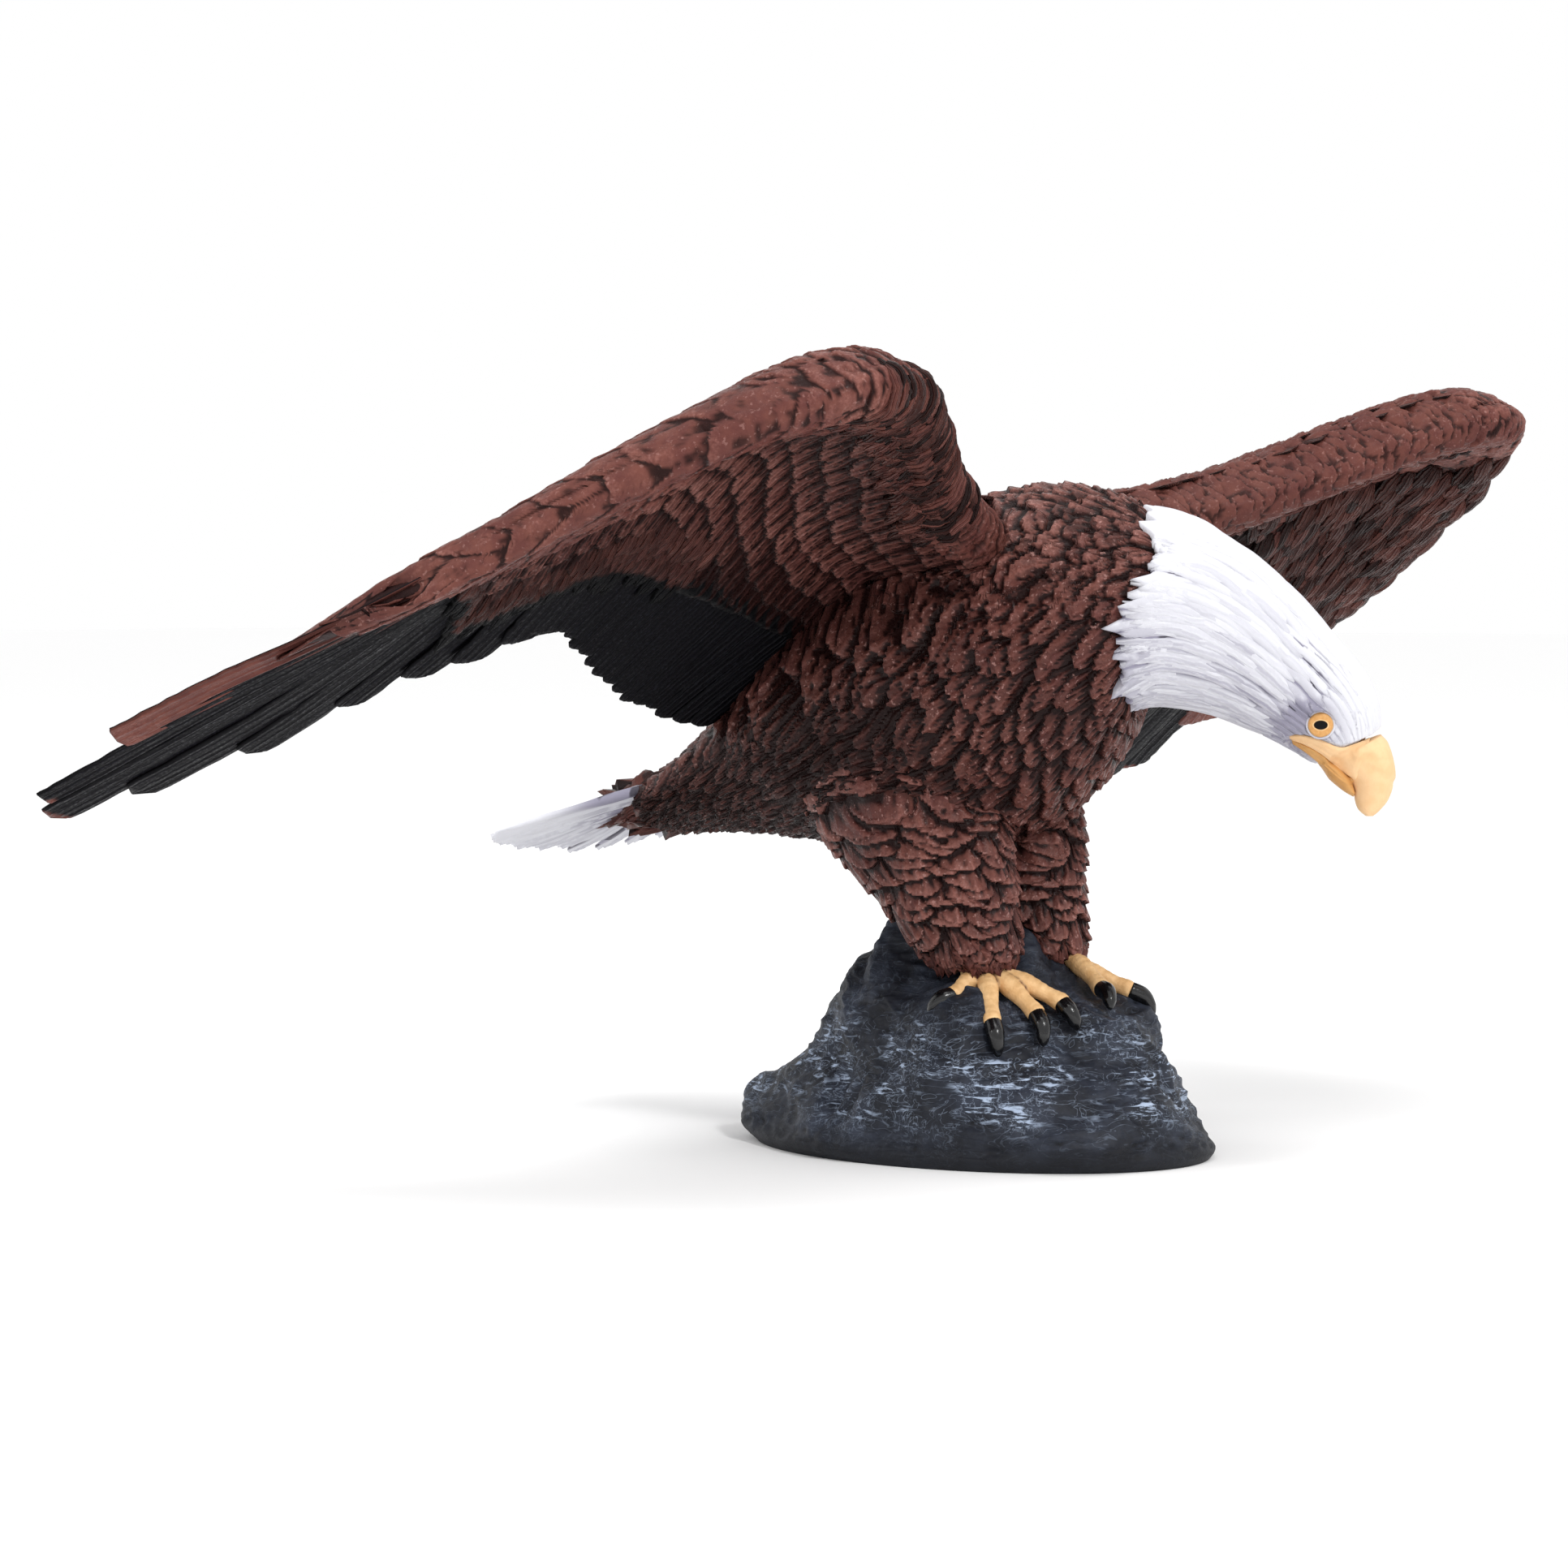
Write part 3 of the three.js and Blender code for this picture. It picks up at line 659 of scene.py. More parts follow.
def vaneMesh(name, shape, bend, draw):
    # a closed leaf from root (y -0.5) to tip (y 0.5), one across, its tip one high
    columns, rows = vane["columns"], vane["rows"]
    x = np.linspace(-1, 1, columns)[None]
    y = np.linspace(0, 1, rows)[:, None] ** 0.85
    ragged = shape["ragged"] * draw.uniform(-1, 1, (1, columns))
    reach = 1 - shape["round"] * np.abs(x) ** 2.2 + ragged
    half = 0.5 * (shape["root"] + (1 - shape["root"]) * smooth(y, -0.1, 0.7)) * (1 - shape["point"] * y**2)
    across = x * half + bend * y**2
    along = y * reach - 0.5
    ridge = shape["ridge"] * np.where(np.arange(columns) % 2, 1, -1)[None] * smooth(y, 0.1, 0.5)
    crown = vane["crown"] * (1 - x**2) * (0.4 + 0.6 * y)
    top = 0.15 + 0.85 * y**1.4 * (1 - 0.25 * x**2) + crown + ridge - 0.25 * smooth(y, 0.8, 1)
    upper = np.stack(np.broadcast_arrays(across, along, top), -1)
    border = [(0, c) for c in range(columns)]
    border += [(r, columns - 1) for r in range(1, rows)]
    border += [(rows - 1, c) for c in range(columns - 2, -1, -1)]
    border += [(r, 0) for r in range(rows - 2, 0, -1)]
    rim = np.array([upper[r, c] for r, c in border])
    foot = rim * [0.88, 0.93, 0] + [0, 0, -vane["sink"]]
    points = np.concatenate([upper.reshape(-1, 3), foot]) / mm
    first = rows * columns
    faces = []
    for r in range(rows - 1):
        for c in range(columns - 1):
            a = r * columns + c
            faces.append((a, a + 1, a + columns + 1, a + columns))
    rimIndex = [r * columns + c for r, c in border]
    for k in range(len(border)):
        n = (k + 1) % len(border)
        faces.append((rimIndex[k], first + k, first + n, rimIndex[n]))
    faces.append(tuple(first + k for k in range(len(border)))[::-1])
    spots = np.stack(np.broadcast_arrays((x + 1) / 2, y), -1).reshape(-1, 2)
    # the walls' places on the Vane map lie outside the leaf's, so the paint darkens them: painted shadow under
    # the tip
    walls = (np.array([spots[k] for k in rimIndex]) - [0.5, 0.3]) * 1.5 + [0.5, 0.3]
    spots = np.concatenate([spots, walls])
    return turnOut(makeMesh(name, points, faces, {"Vane": spots}))


vaneShapes = {  # round, ragged and point shape the tip, root is the width there, ridge the barbs
    "scallop": {
        "bends": (-0.2, 0.0, 0.2), "round": 0.55, "root": 0.7, "ragged": 0.1, "point": 0.0, "ridge": 0.42,
    },
    "barbed": {
        "bends": (-0.06, 0.0, 0.06), "round": 0.3, "root": 0.85, "ragged": 0.04, "point": 0.0, "ridge": 0.42,
    },
    "pointed": {
        "bends": (-0.22, -0.05, 0.14, 0.26), "round": 0.62, "root": 0.5, "ragged": 0.14, "point": 0.4,
        "ridge": 0.4,
    },
}


def vaneCollections():
    made = {}
    for kind, shape in vaneShapes.items():
        made[kind] = bpy.data.collections.new("vanes_" + kind)
        for k, bend in enumerate(shape["bends"]):
            mesh = vaneMesh(f"{kind}_{k}", shape, bend, np.random.default_rng(20 + k))
            made[kind].objects.link(bpy.data.objects.new(f"{kind}_{k}", mesh))
    return made


def coatTree():
    # lays a vane on each point, turned to its lie, and keeps its place on the bake map
    tree = bpy.data.node_groups.new("feather_coat", "GeometryNodeTree")
    tree.is_modifier = True
    g = Graph(tree)
    face = tree.interface
    face.new_socket("Geometry", in_out="INPUT", socket_type="NodeSocketGeometry")
    kinds = {"Vanes": "Collection", "Relief": "Float", "Unruly": "Float", "Seed": "Int", "Paint": "Material"}
    for name, kind in kinds.items():
        face.new_socket(name, in_out="INPUT", socket_type="NodeSocket" + kind)
    face.new_socket("Geometry", in_out="OUTPUT", socket_type="NodeSocketGeometry")
    group = tree.nodes.new("NodeGroupInput")
    given = {s.name: Wire(g, s) for s in group.outputs if s.name}

    def named(name, kind):
        return g.node("GeometryNodeInputNamedAttribute", {"data_type": kind}, {"Name": name})

    def vector(operation, first, second):
        return g.node("ShaderNodeVectorMath", {"operation": operation}, {0: first, 1: second})

    turned = g.node(
        "FunctionNodeAxesToRotation",
        {"primary_axis": "Z", "secondary_axis": "Y"},
        {0: named("out", "FLOAT_VECTOR"), 1: named("lie", "FLOAT_VECTOR")},
    )
    unruly = given["Unruly"]
    sway = g.node("ShaderNodeCombineXYZ", None, {0: unruly * 0.5, 1: unruly * 0.6, 2: unruly})
    noisy = g.node(
        "FunctionNodeRandomValue",
        {"data_type": "FLOAT_VECTOR"},
        {0: (0, 0, 0), 1: sway, "Seed": given["Seed"]},
    )
    centred = vector("SUBTRACT", vector("ADD", noisy, noisy), sway)
    spun = g.node(
        "FunctionNodeRotateRotation",
        {"rotation_space": "LOCAL"},
        {0: turned, 1: g.node("FunctionNodeEulerToRotation", None, {0: centred})},
    )
    sizes = g.node("ShaderNodeCombineXYZ", None, {0: mm, 1: mm, 2: given["Relief"]})
    laid = g.node(
        "GeometryNodeInstanceOnPoints",
        None,
        {
            "Points": given["Geometry"],
            "Instance": g.node(
                "GeometryNodeCollectionInfo",
                None,
                {"Collection": given["Vanes"], "Separate Children": True, "Reset Children": True},
            ),
            "Pick Instance": True,
            "Instance Index": named("kind", "INT"),
            "Rotation": spun,
            "Scale": vector("MULTIPLY", sizes, named("size", "FLOAT_VECTOR")),
        },
    )
    real = g.node("GeometryNodeRealizeInstances", None, {"Geometry": laid})
    onVane = vector("SUBTRACT", named("Vane", "FLOAT_VECTOR"), (0.5, 0.5, 0))
    patch = vector("MULTIPLY", onVane, (bakePatch, bakePatch, 0))
    mapped = g.node(
        "GeometryNodeStoreNamedAttribute",
        {"data_type": "FLOAT2", "domain": "CORNER"},
        {"Geometry": real, "Name": "OFBake", "Value": vector("ADD", patch, named("root", "FLOAT_VECTOR"))},
    )
    painted = g.node("GeometryNodeSetMaterial", None, {"Geometry": mapped, "Material": given["Paint"]})
    end = tree.nodes.new("NodeGroupOutput")
    g.plug(end.inputs[0], painted)
    return tree


def layCoat(name, laid, collection, material, slot, relief, unruly, seed):
    # laid holds arrays: place, out, lie, size (width, length), root, ink, the worn and painted-light share,
    # shade
    count = len(laid["place"])
    mesh = bpy.data.meshes.new(name)
    mesh.from_pydata((laid["place"] * mm).tolist(), [], [])
    size = np.column_stack([laid["size"], np.ones(count)])
    root = np.column_stack([laid["root"], np.zeros(count)])
    kinds = np.random.default_rng(seed).integers(0, 12, count)
    for key, numbers in (("out", laid["out"]), ("lie", laid["lie"]), ("size", size), ("root", root)):
        layer = mesh.attributes.new(key, "FLOAT_VECTOR", "POINT")
        layer.data.foreach_set("vector", numbers.astype(np.float32).ravel())
    for key in ("ink", "wearAndLight", "shade"):
        mesh.attributes.new(key, "FLOAT", "POINT").data.foreach_set("value", laid[key].astype(np.float32))
    mesh.attributes.new("kind", "INT", "POINT").data.foreach_set("value", kinds.astype(np.int32))
    obj = bpy.data.objects.new(name, mesh)
    scene.collection.objects.link(obj)
    modifier = obj.modifiers.new("coat", "NODES")
    modifier.node_group = coatNodes
    sockets = {s.name: s.identifier for s in coatNodes.interface.items_tree if s.in_out == "INPUT"}
    given = {"Vanes": collection, "Relief": relief * mm, "Unruly": unruly, "Seed": seed, "Paint": material}
    for key, value in given.items():
        modifier[sockets[key]] = value
    mesh = applied(obj)
    mesh.name = name
    for key in ("out", "lie", "size", "root", "kind"):
        if key in mesh.attributes:
            mesh.attributes.remove(mesh.attributes[key])
    return addPiece(name, mesh, material, slot)


# Laying rows of feathers over a surface

def surfaceFrame(surface, u, v):
    # place and the two directions of a surface, by small steps
    step = 1e-3
    alongU = unit(surface(u + step, v) - surface(u - step, v))
    alongV = unit(surface(u, v + step) - surface(u, v - step))
    return surface(u, v), alongU, alongV


def evenSpots(surface, u, low, high, pitch, offset):
    # values of v an even distance apart along the line of constant u
    fine = np.linspace(low, high, 400)
    line = surface(np.full(400, u), fine)
    reach = np.concatenate([[0], np.cumsum(np.linalg.norm(np.diff(line, axis=0), axis=1))])
    count = max(int(round(reach[-1] / pitch)), 1)
    return np.interp((np.arange(count) + offset) / count * reach[-1], reach, fine)


def layRows(surface, rows, low, high, pitch, wander, tile, draw):
    # rows: values of u in the order that they are laid. Returns u, v and the place on the bake map
    us, vs = [], []
    for k, u in enumerate(rows):
        spots = evenSpots(surface, u, low, high, pitch, 0.25 + 0.5 * (k % 2))
        us.append(np.full(len(spots), u))
        vs.append(spots)
    u, v = np.concatenate(us), np.concatenate(vs)
    u = u + draw.uniform(-1, 1, len(u)) * wander[0]
    v = v + draw.uniform(-1, 1, len(v)) * wander[1]
    share = np.stack([(v - low) / (high - low), (u - min(rows)) / (max(rows) - min(rows) + 1e-9)], -1)
    root = np.array(tile[:2]) + np.clip(share, 0, 1) * np.array(tile[2:])
    return u, v, root


# Moulded plumage: sheets whose relief is rows of overlapping feathers
# pitch and row are a feather's width and its row's depth in mm, cover the rows that it reaches over,
# around how many go round before the pattern repeats, wide its half width in pitches, wander its
# stray from its place, round its tip, barb and notch the ripples of its edge. rise, crown and ridge
# are heights in mm. spread and dark set how wide and how deep a hollow has to be to look dark.

coarse = 4  # steps of a sheet's outer grid to one of its inner grid
bakeRim = 0.01


def imbricate(across, along, shape, seed):
    # how far along the top feather each place is, how far across, and how near to its edge
    pitch, row = shape["pitch"], shape["row"]
    length = row * shape.get("cover", 2.4)
    jitter = np.random.default_rng(seed).uniform(-1, 1, (4, 97, 89))
    high = np.full(across.shape, -1.0)
    side, edge = np.zeros(across.shape), np.zeros(across.shape)
    first = np.floor(along / row).astype(int)
    for rowStep in (-1, 0, 1, 2):
        r = first + rowStep
        shift = 0.5 * (r % 2)
        start = np.floor(across / pitch - shift).astype(int)
        for columnStep in (-1, 0, 1):
            c = start + columnStep
            move = jitter[:, r % 97, c % shape.get("around", 89)]
            middle = (c + 0.5 + shift + move[0] * shape["wander"]) * pitch
            tip = (r + 1 + move[1] * shape["wander"]) * row
            half = pitch * shape["wide"] * (1 + 0.12 * move[2])
            x = (across - middle) / half
            notch = shape["notch"] * np.sin((across - middle) * 2 * np.pi / shape["barb"] + 3 * move[3])
            reach = tip - shape["round"] * row * np.abs(x) ** 2.4 + notch
            y = (along - tip) / length + 1
            better = (np.abs(x) < 1) & (along < reach) & (y > high)
            high = np.where(better, y, high)
            side = np.where(better, x, side)
            edge = np.where(better, np.minimum(reach - along, (1 - np.abs(x)) * half), edge)
    return np.clip(high, 0, 1), side, edge


def blur(field, rounds):
    for _ in range(rounds):
        padded = np.pad(field, 1, mode="edge")
        field = (padded[:-2, 1:-1] + padded[2:, 1:-1] + padded[1:-1, :-2] + padded[1:-1, 2:] + field) / 5
    return field


def wander(place, size, seed):
    # soft noise at each place, about as wide as size
    shift = Vector((seed * 1.7, seed * 3.1, -seed * 2.3))
    flat = [noise.noise(Vector(p) / size + shift) for p in place.reshape(-1, 3).tolist()]
    return np.array(flat).reshape(place.shape[:-1])


def stretch(field, rows, columns):
    # a coarse grid of values made into a fine one
    for axis, count in ((0, rows), (1, columns)):
        spot = np.arange(count) / coarse
        low = np.minimum(spot.astype(int), field.shape[axis] - 2)
        share = (spot - low).reshape([-1 if k == axis else 1 for k in range(field.ndim)])
        field = np.take(field, low, axis) * (1 - share) + np.take(field, low + 1, axis) * share
    return field


def drape(ground, place, out):
    # moves a grid on to the flesh, and lets it go down inside where it is buried
    rows, columns = place.shape[:2]
    rough, roughOut = place[::coarse, ::coarse], out[::coarse, ::coarse]
    spots, normals, height = ground.nearest(rough)
    facing = (normals * roughOut).sum(-1)
    buried = np.maximum(smooth(-height, 0.9, 1.9), 1 - smooth(facing, 0.0, 0.4))[..., None]
    spots = spots * (1 - buried) + (rough - roughOut * 0.8) * buried
    normals = unit(normals * (1 - buried) + roughOut * (buried + 0.15))
    return stretch(spots, rows, columns), unit(stretch(normals, rows, columns))


def relief(across, along, shape, seed):
    # height in mm of the moulded feathers
    high, side, edge = imbricate(across, along, shape, seed)
    reach = side * shape["wide"] * shape["pitch"] * (1.25 - 0.25 * high)
    barb = np.sin(reach * 2 * np.pi / shape["barb"] + 1.5 * np.sin(along * 0.9))
    barb = barb * (0.6 + 0.4 * np.sin(across * 1.7 + along * 2.3))
    lift = shape["rise"] * high + shape["crown"] * (1 - side**2)
    lift = lift + shape["ridge"] * barb * smooth(edge, 0.0, 0.4)
    return lift, high, side


def mouldMesh(name, top, inner, vane, values):
    # a closed shell: a fine grid outside, a coarse one inside, and walls round the border
    rows, columns = top.shape[:2]
    below = inner[::coarse, ::coarse]
    low = below.shape[1]
    first = rows * columns
    a = (np.arange(rows - 1)[:, None] * columns + np.arange(columns - 1)).ravel()
    faces = np.stack([a, a + 1, a + columns + 1, a + columns], -1).tolist()
    a = (first + np.arange(below.shape[0] - 1)[:, None] * low + np.arange(low - 1)).ravel()
    faces += np.stack([a, a + low, a + low + 1, a + 1], -1).tolist()
    corners = [(0, c) for c in range(0, columns - 1, coarse)]
    corners += [(r, columns - 1) for r in range(0, rows - 1, coarse)]
    corners += [(rows - 1, c) for c in range(columns - 1, 0, -coarse)]
    corners += [(r, 0) for r in range(rows - 1, 0, -coarse)]
    for k, (r, c) in enumerate(corners):
        nextR, nextC = corners[(k + 1) % len(corners)]
        line = [(r + (nextR - r) * j // coarse, c + (nextC - c) * j // coarse) for j in range(coarse + 1)]
        wall = [i * columns + j for i, j in line]
        wall += [first + nextR // coarse * low + nextC // coarse, first + r // coarse * low + c // coarse]
        faces.append(wall)

    def bothGrids(field):
        inside = field[::coarse, ::coarse]
        return np.concatenate([field.reshape(first, -1), inside.reshape(below.shape[0] * low, -1)])

    across, down = (np.linspace(bakeRim, 1 - bakeRim, count) for count in (columns, rows))
    maps = {"Vane": bothGrids(vane), "OFBake": bothGrids(np.stack(np.meshgrid(across, down), -1))}
    values = {key: bothGrids(field) for key, field in values.items()}
    points = np.concatenate([top.reshape(-1, 3), below.reshape(-1, 3)])
    return turnOut(makeMesh(name, points, faces, maps, values))


def creases(lift, shape):
    # 1 in the hollows of a relief, and 1 on its ridges
    groove = blur(lift, shape["spread"]) - lift
    return smooth(groove, 0.0, shape["dark"]), smooth(-groove, 0.0, shape["dark"])


def mould(name, place, out, across, along, shape, seed, base, fade, ink, wearAndLight, shade, others=(), depth=1.6):
    # a moulded sheet of feathers; base is its height over the flesh and fade is 0 at its border.
    # others are further shapes, each with the share that it takes at each place
    lift, high, aside = relief(across, along, shape, seed)
    for k, (other, share) in enumerate(others):
        lift = lift * (1 - share) + relief(across, along, other, seed + 1 + k)[0] * share
    # hollows are darkened, the toy's dark wash with painted shade, and ridges paled as dry-brushed wear
    hollow, ridge = creases(lift, shape)
    lift = (lift + base) * fade - 0.5 * (1 - fade)
    top = place + out * lift[..., None]
    vane = np.stack([(aside + 1) / 2, 0.55 + 0.4 * high], -1)
    under = 0.4 * smooth(-high, -0.85, -0.45)  # the part of a feather that its neighbours shade
    # the border, where the sheet sinks, is darkened too: painted shade
    values = {"ink": ink, "wearAndLight": wearAndLight + 0.3 * ridge, "shade": shade + 0.85 * hollow + 0.4 * (1 - fade) + under}
    return mouldMesh(name, top, place - out * depth, vane, values)


breast = {
    "pitch": 4.2, "row": 2.5, "cover": 3.0, "around": 26, "wide": 0.57, "wander": 0.4, "round": 0.75,
    "barb": 1.1, "notch": 0.1, "rise": 1.7, "crown": 0.45, "ridge": 0.2, "spread": 10, "dark": 0.14,
}
shoulder = {
    "pitch": 2.73, "row": 2.0, "cover": 3.0, "around": 40, "wide": 0.58, "wander": 0.35, "round": 0.8,
    "barb": 0.9, "notch": 0.08, "rise": 1.3, "crown": 0.4, "ridge": 0.1,
}
rump = {
    "pitch": 7.8, "row": 2.1, "cover": 3.0, "around": 14, "wide": 0.57, "wander": 0.35, "round": 0.8,
    "barb": 2.2, "notch": 0.1, "rise": 1.8, "crown": 0.5, "ridge": 0.18,
}
shank = {
    "pitch": 4.14, "row": 1.9, "cover": 3.0, "around": 12, "wide": 0.58, "wander": 0.48, "round": 0.65,
    "barb": 1.3, "notch": 0.04, "rise": 1.5, "crown": 0.45, "ridge": 0.12, "spread": 10, "dark": 0.13,
}
coat = {  # the separate vanes of the tail's root and the thighs' hems
    "rearRow": 2.36,
    "rearPitch": 4.0,
    "rearSize": (5.2, 5.31),
    "hemPitch": 2.56,
    "hemSize": (3.2, 3.75),
    "lift": -0.25,
    "relief": 0.62,
}


def rowSteps(surface, start, end, v, spacing):
    # values of u from start to end, about spacing apart on average over the given v
    fine = np.linspace(start, end, 600)
    reach = reachOf(surface, fine, v)
    return np.interp(np.arange(0, reach[-1], spacing), reach, fine)


def settle(ground, place, lie, out, lift, deepest=1.6):
    # puts feathers on the skin's surface and says which are not buried in it
    spots, normals, height = ground.nearest(place)
    keep = np.abs(height) < deepest
    facing = (normals * out).sum(-1) > 0.3
    normals = unit(normals + out * 0.25)
    lie = unit(lie - normals * (lie * normals).sum(-1, keepdims=True))
    return spots + normals * lift, lie, normals, keep & facing


def pick(laid, keep):
    return {key: value[keep] for key, value in laid.items()}


def trunkCoat(ground):
    # pointed feathers over the tail's root, longer towards the end
    draw = np.random.default_rng(3)
    around = [0.0, 0.8, 1.6, 2.4, np.pi]
    rows = rowSteps(bodyPoint, hoodEdge - 0.12, 0.25, around, coat["rearRow"])
    tile = (0.02, 0.02, 0.46, 0.46)
    u, v, root = layRows(bodyPoint, rows[::-1], 0, 2 * np.pi, coat["rearPitch"], (0.045, 0.045), tile, draw)
    place, lengthways, sideways = surfaceFrame(bodyPoint, u, v)
    spots, lie, out, keep = settle(ground, place, -lengthways, np.cross(lengthways, sideways), coat["lift"])
    grow = draw.uniform(0.88, 1.14, len(u))
    width, length = coat["rearSize"]
    width = width * (1 - 0.25 * smooth(-np.cos(v), 0.3, 1.0)) * grow
    length = length * grow * (1 + 0.8 * smooth(-u, -1.3, -0.8))
    laid = {
        "place": spots, "lie": lie, "out": out, "size": np.stack([width, length], -1), "root": root,
        "ink": 0 * u, "wearAndLight": draw.uniform(0, 0.35, len(u)), "shade": draw.uniform(0.25, 0.45, len(u)),
    }
    return pick(laid, keep & (u < 1.5))


def reachOf(surface, t, angles):
    # mean distance in mm along the surface from the first t
    lines = [np.linalg.norm(np.diff(surface(t, np.full(len(t), a)), axis=0), axis=1) for a in angles]
    return np.concatenate([[0], np.cumsum(np.mean(lines, axis=0))])


def breastMould(ground):
    # moulded plumage of the breast, flanks and back
    t = np.linspace(9.5, 1.0, 201)
    angle = np.linspace(-np.pi, np.pi, 401)[None]
    place = bodyPoint(t[:, None], angle)
    steps = np.linalg.norm(np.diff(place, axis=0), axis=-1)
    along = np.concatenate([0 * angle, np.cumsum(steps, axis=0)])
    out = unit(bodyPoint(t[:, None], angle, 1.0) - place)
    radius = breast["pitch"] * breast["around"] / (2 * np.pi)
    across = radius * angle - 0.45 * np.sin(angle) * np.abs(np.sin(angle)) * (along - 12)
    patch = wander(place, 16.0, 3)
    across = across + 1.6 * wander(place, 7.0, 1)
    along = along + 1.6 * wander(place, 6.0, 2)
    spots, normals = drape(ground, place, out)
    edge = level(hood["edge"], np.degrees(np.abs(angle)))
    fade = smooth(edge - t[:, None], -0.2, 0.25) * smooth(t, 1.0, 1.25)[:, None]
    # painted shade and light: darker low on the body and on the belly and flanks under the wings, paler on the
    # top, as if lit from above
    low = smooth(-place[..., 2], -62, -42) * smooth(place[..., 1], -8, 12)
    under = smooth(np.abs(angle), 1.2, 1.9) * smooth(place[..., 1], -12, 4)
    under = under * (1 - 0.65 * smooth(-t, -4.6, -3.2)[:, None])
    shade = 0.28 + 0.22 * low + 0.45 * under + 0.2 * patch - 0.08 * smooth(place[..., 2], 60, 76)
    # the top paler still: painted light
    wearAndLight = 0.25 * smooth(place[..., 2], 60, 76) - 0.05
    behind = smooth(-t, -4.6, -3.2)[:, None] * (1 - smooth(np.cos(angle), -0.2, 0.5))
    above = np.maximum(smooth(place[..., 2], 60, 70), smooth(np.cos(angle), 0.3, 0.7)) * (1 - behind)
    others = ((shoulder, above), (rump, behind))
    black = 0 * across
    return mould("breast", spots, normals, across, along, breast, 3, -0.75, fade, black, wearAndLight, shade, others)


def thighMould(ground, side):
    t = np.linspace(0.3, 5.0, 121)
    angle = np.linspace(-np.pi / 2, 3 * np.pi / 2, 241)[None]
    surface = partial(thighPoint, side)
    along = reachOf(surface, t, [0.0, 1.6, 3.1, 4.7])[:, None]
    place = surface(t[:, None], angle)
    out = unit(surface(t[:, None], angle, 1.0) - place)
    radius = shank["pitch"] * shank["around"] / (2 * np.pi)
    across = radius * angle + 1.4 * wander(place, 6.0, 4)
    along = along + 1.6 * wander(place, 5.0, 5)
    spots, normals = drape(ground, place, out)
    fade = smooth(-t, -5.0, -4.93)[:, None] * smooth(t, 0.3, 0.5)[:, None] + 0 * angle
    shade = 0.2 + 0.25 * wander(place, 10.0, 6)
    ink, wearAndLight = 0 * across, 0.1 + 0 * across
    return mould("thigh", spots, normals, across, along, shank, 6 + side, -0.7, fade, ink, wearAndLight, shade)


def thighCoat(ground, side):
    # the ragged hem of the thigh
    draw = np.random.default_rng(11 + side)
    surface = partial(thighPoint, side)
    rows = np.array([4.9, 4.7, 4.5])
    tile = (0.52 if side > 0 else 0.76, 0.02, 0.2, 0.2)
    u, v, root = layRows(surface, rows, 0, 2 * np.pi, coat["hemPitch"], (0.05, 0.08), tile, draw)
    place, lengthways, sideways = surfaceFrame(surface, np.minimum(u, 4.99), v)
    out = np.cross(lengthways, sideways) * side
    spots, lie, out, keep = settle(ground, place, lengthways, out, coat["lift"])
    laid = {
        "place": spots, "lie": lie, "out": out, "root": root, "ink": 0 * u,
        "size": coat["hemSize"] * draw.uniform(0.8, 1.2, (len(u), 1)),
        "wearAndLight": draw.uniform(0, 0.4, len(u)), "shade": draw.uniform(-0.05, 0.15, len(u)),
    }
    return pick(laid, keep)


# Strands: closed strips that follow the surface, for locks, long feathers and ridges

def strandMesh(name, centres, outs, halfWidths, heights, columns, sink, roots, values):
    # centres and outs are (strands, steps, 3), the others (strands, steps) or one number a strand
    strands, steps = centres.shape[:2]
    x = np.linspace(-1, 1, columns)
    rise = np.sqrt(np.clip(1 - (0.96 * x) ** 2, 0, 1))
    forward = unit(np.gradient(centres, axis=1))
    across = unit(np.cross(forward, outs))[:, :, None]
    reach = halfWidths[..., None, None] * x[:, None]
    upper = centres[:, :, None] + across * reach + outs[:, :, None] * (heights[..., None] * rise)[..., None]
    lower = centres[:, :, None] + across * reach * 0.9 - outs[:, :, None] * sink
    points = np.stack([upper, lower], 1).reshape(-1, 3)
    pattern = np.array(slabFaces(steps, columns))
    faces = (pattern[None] + np.arange(strands)[:, None, None] * 2 * steps * columns).reshape(-1, 4).tolist()
    spot = np.stack(np.meshgrid((x + 1) / 2, np.linspace(0, 1, steps)), -1).reshape(-1, 2)
    spots = np.tile(np.concatenate([spot, spot]), (strands, 1))
    each = np.repeat(np.arange(strands), 2 * steps * columns)
    maps = {"Vane": spots * [1, 0.45] + [0, 0.55], "OFBake": roots[each] + (spots - 0.5) * bakePatch}
    numbers = {}
    for key, value in values.items():
        if value.ndim == 1:
            numbers[key] = value[each]
        else:
            numbers[key] = np.tile(np.repeat(value, columns, axis=1)[:, None], (1, 2, 1)).ravel()
    return turnOut(makeMesh(name, points, faces, maps, numbers))


# Wing coat

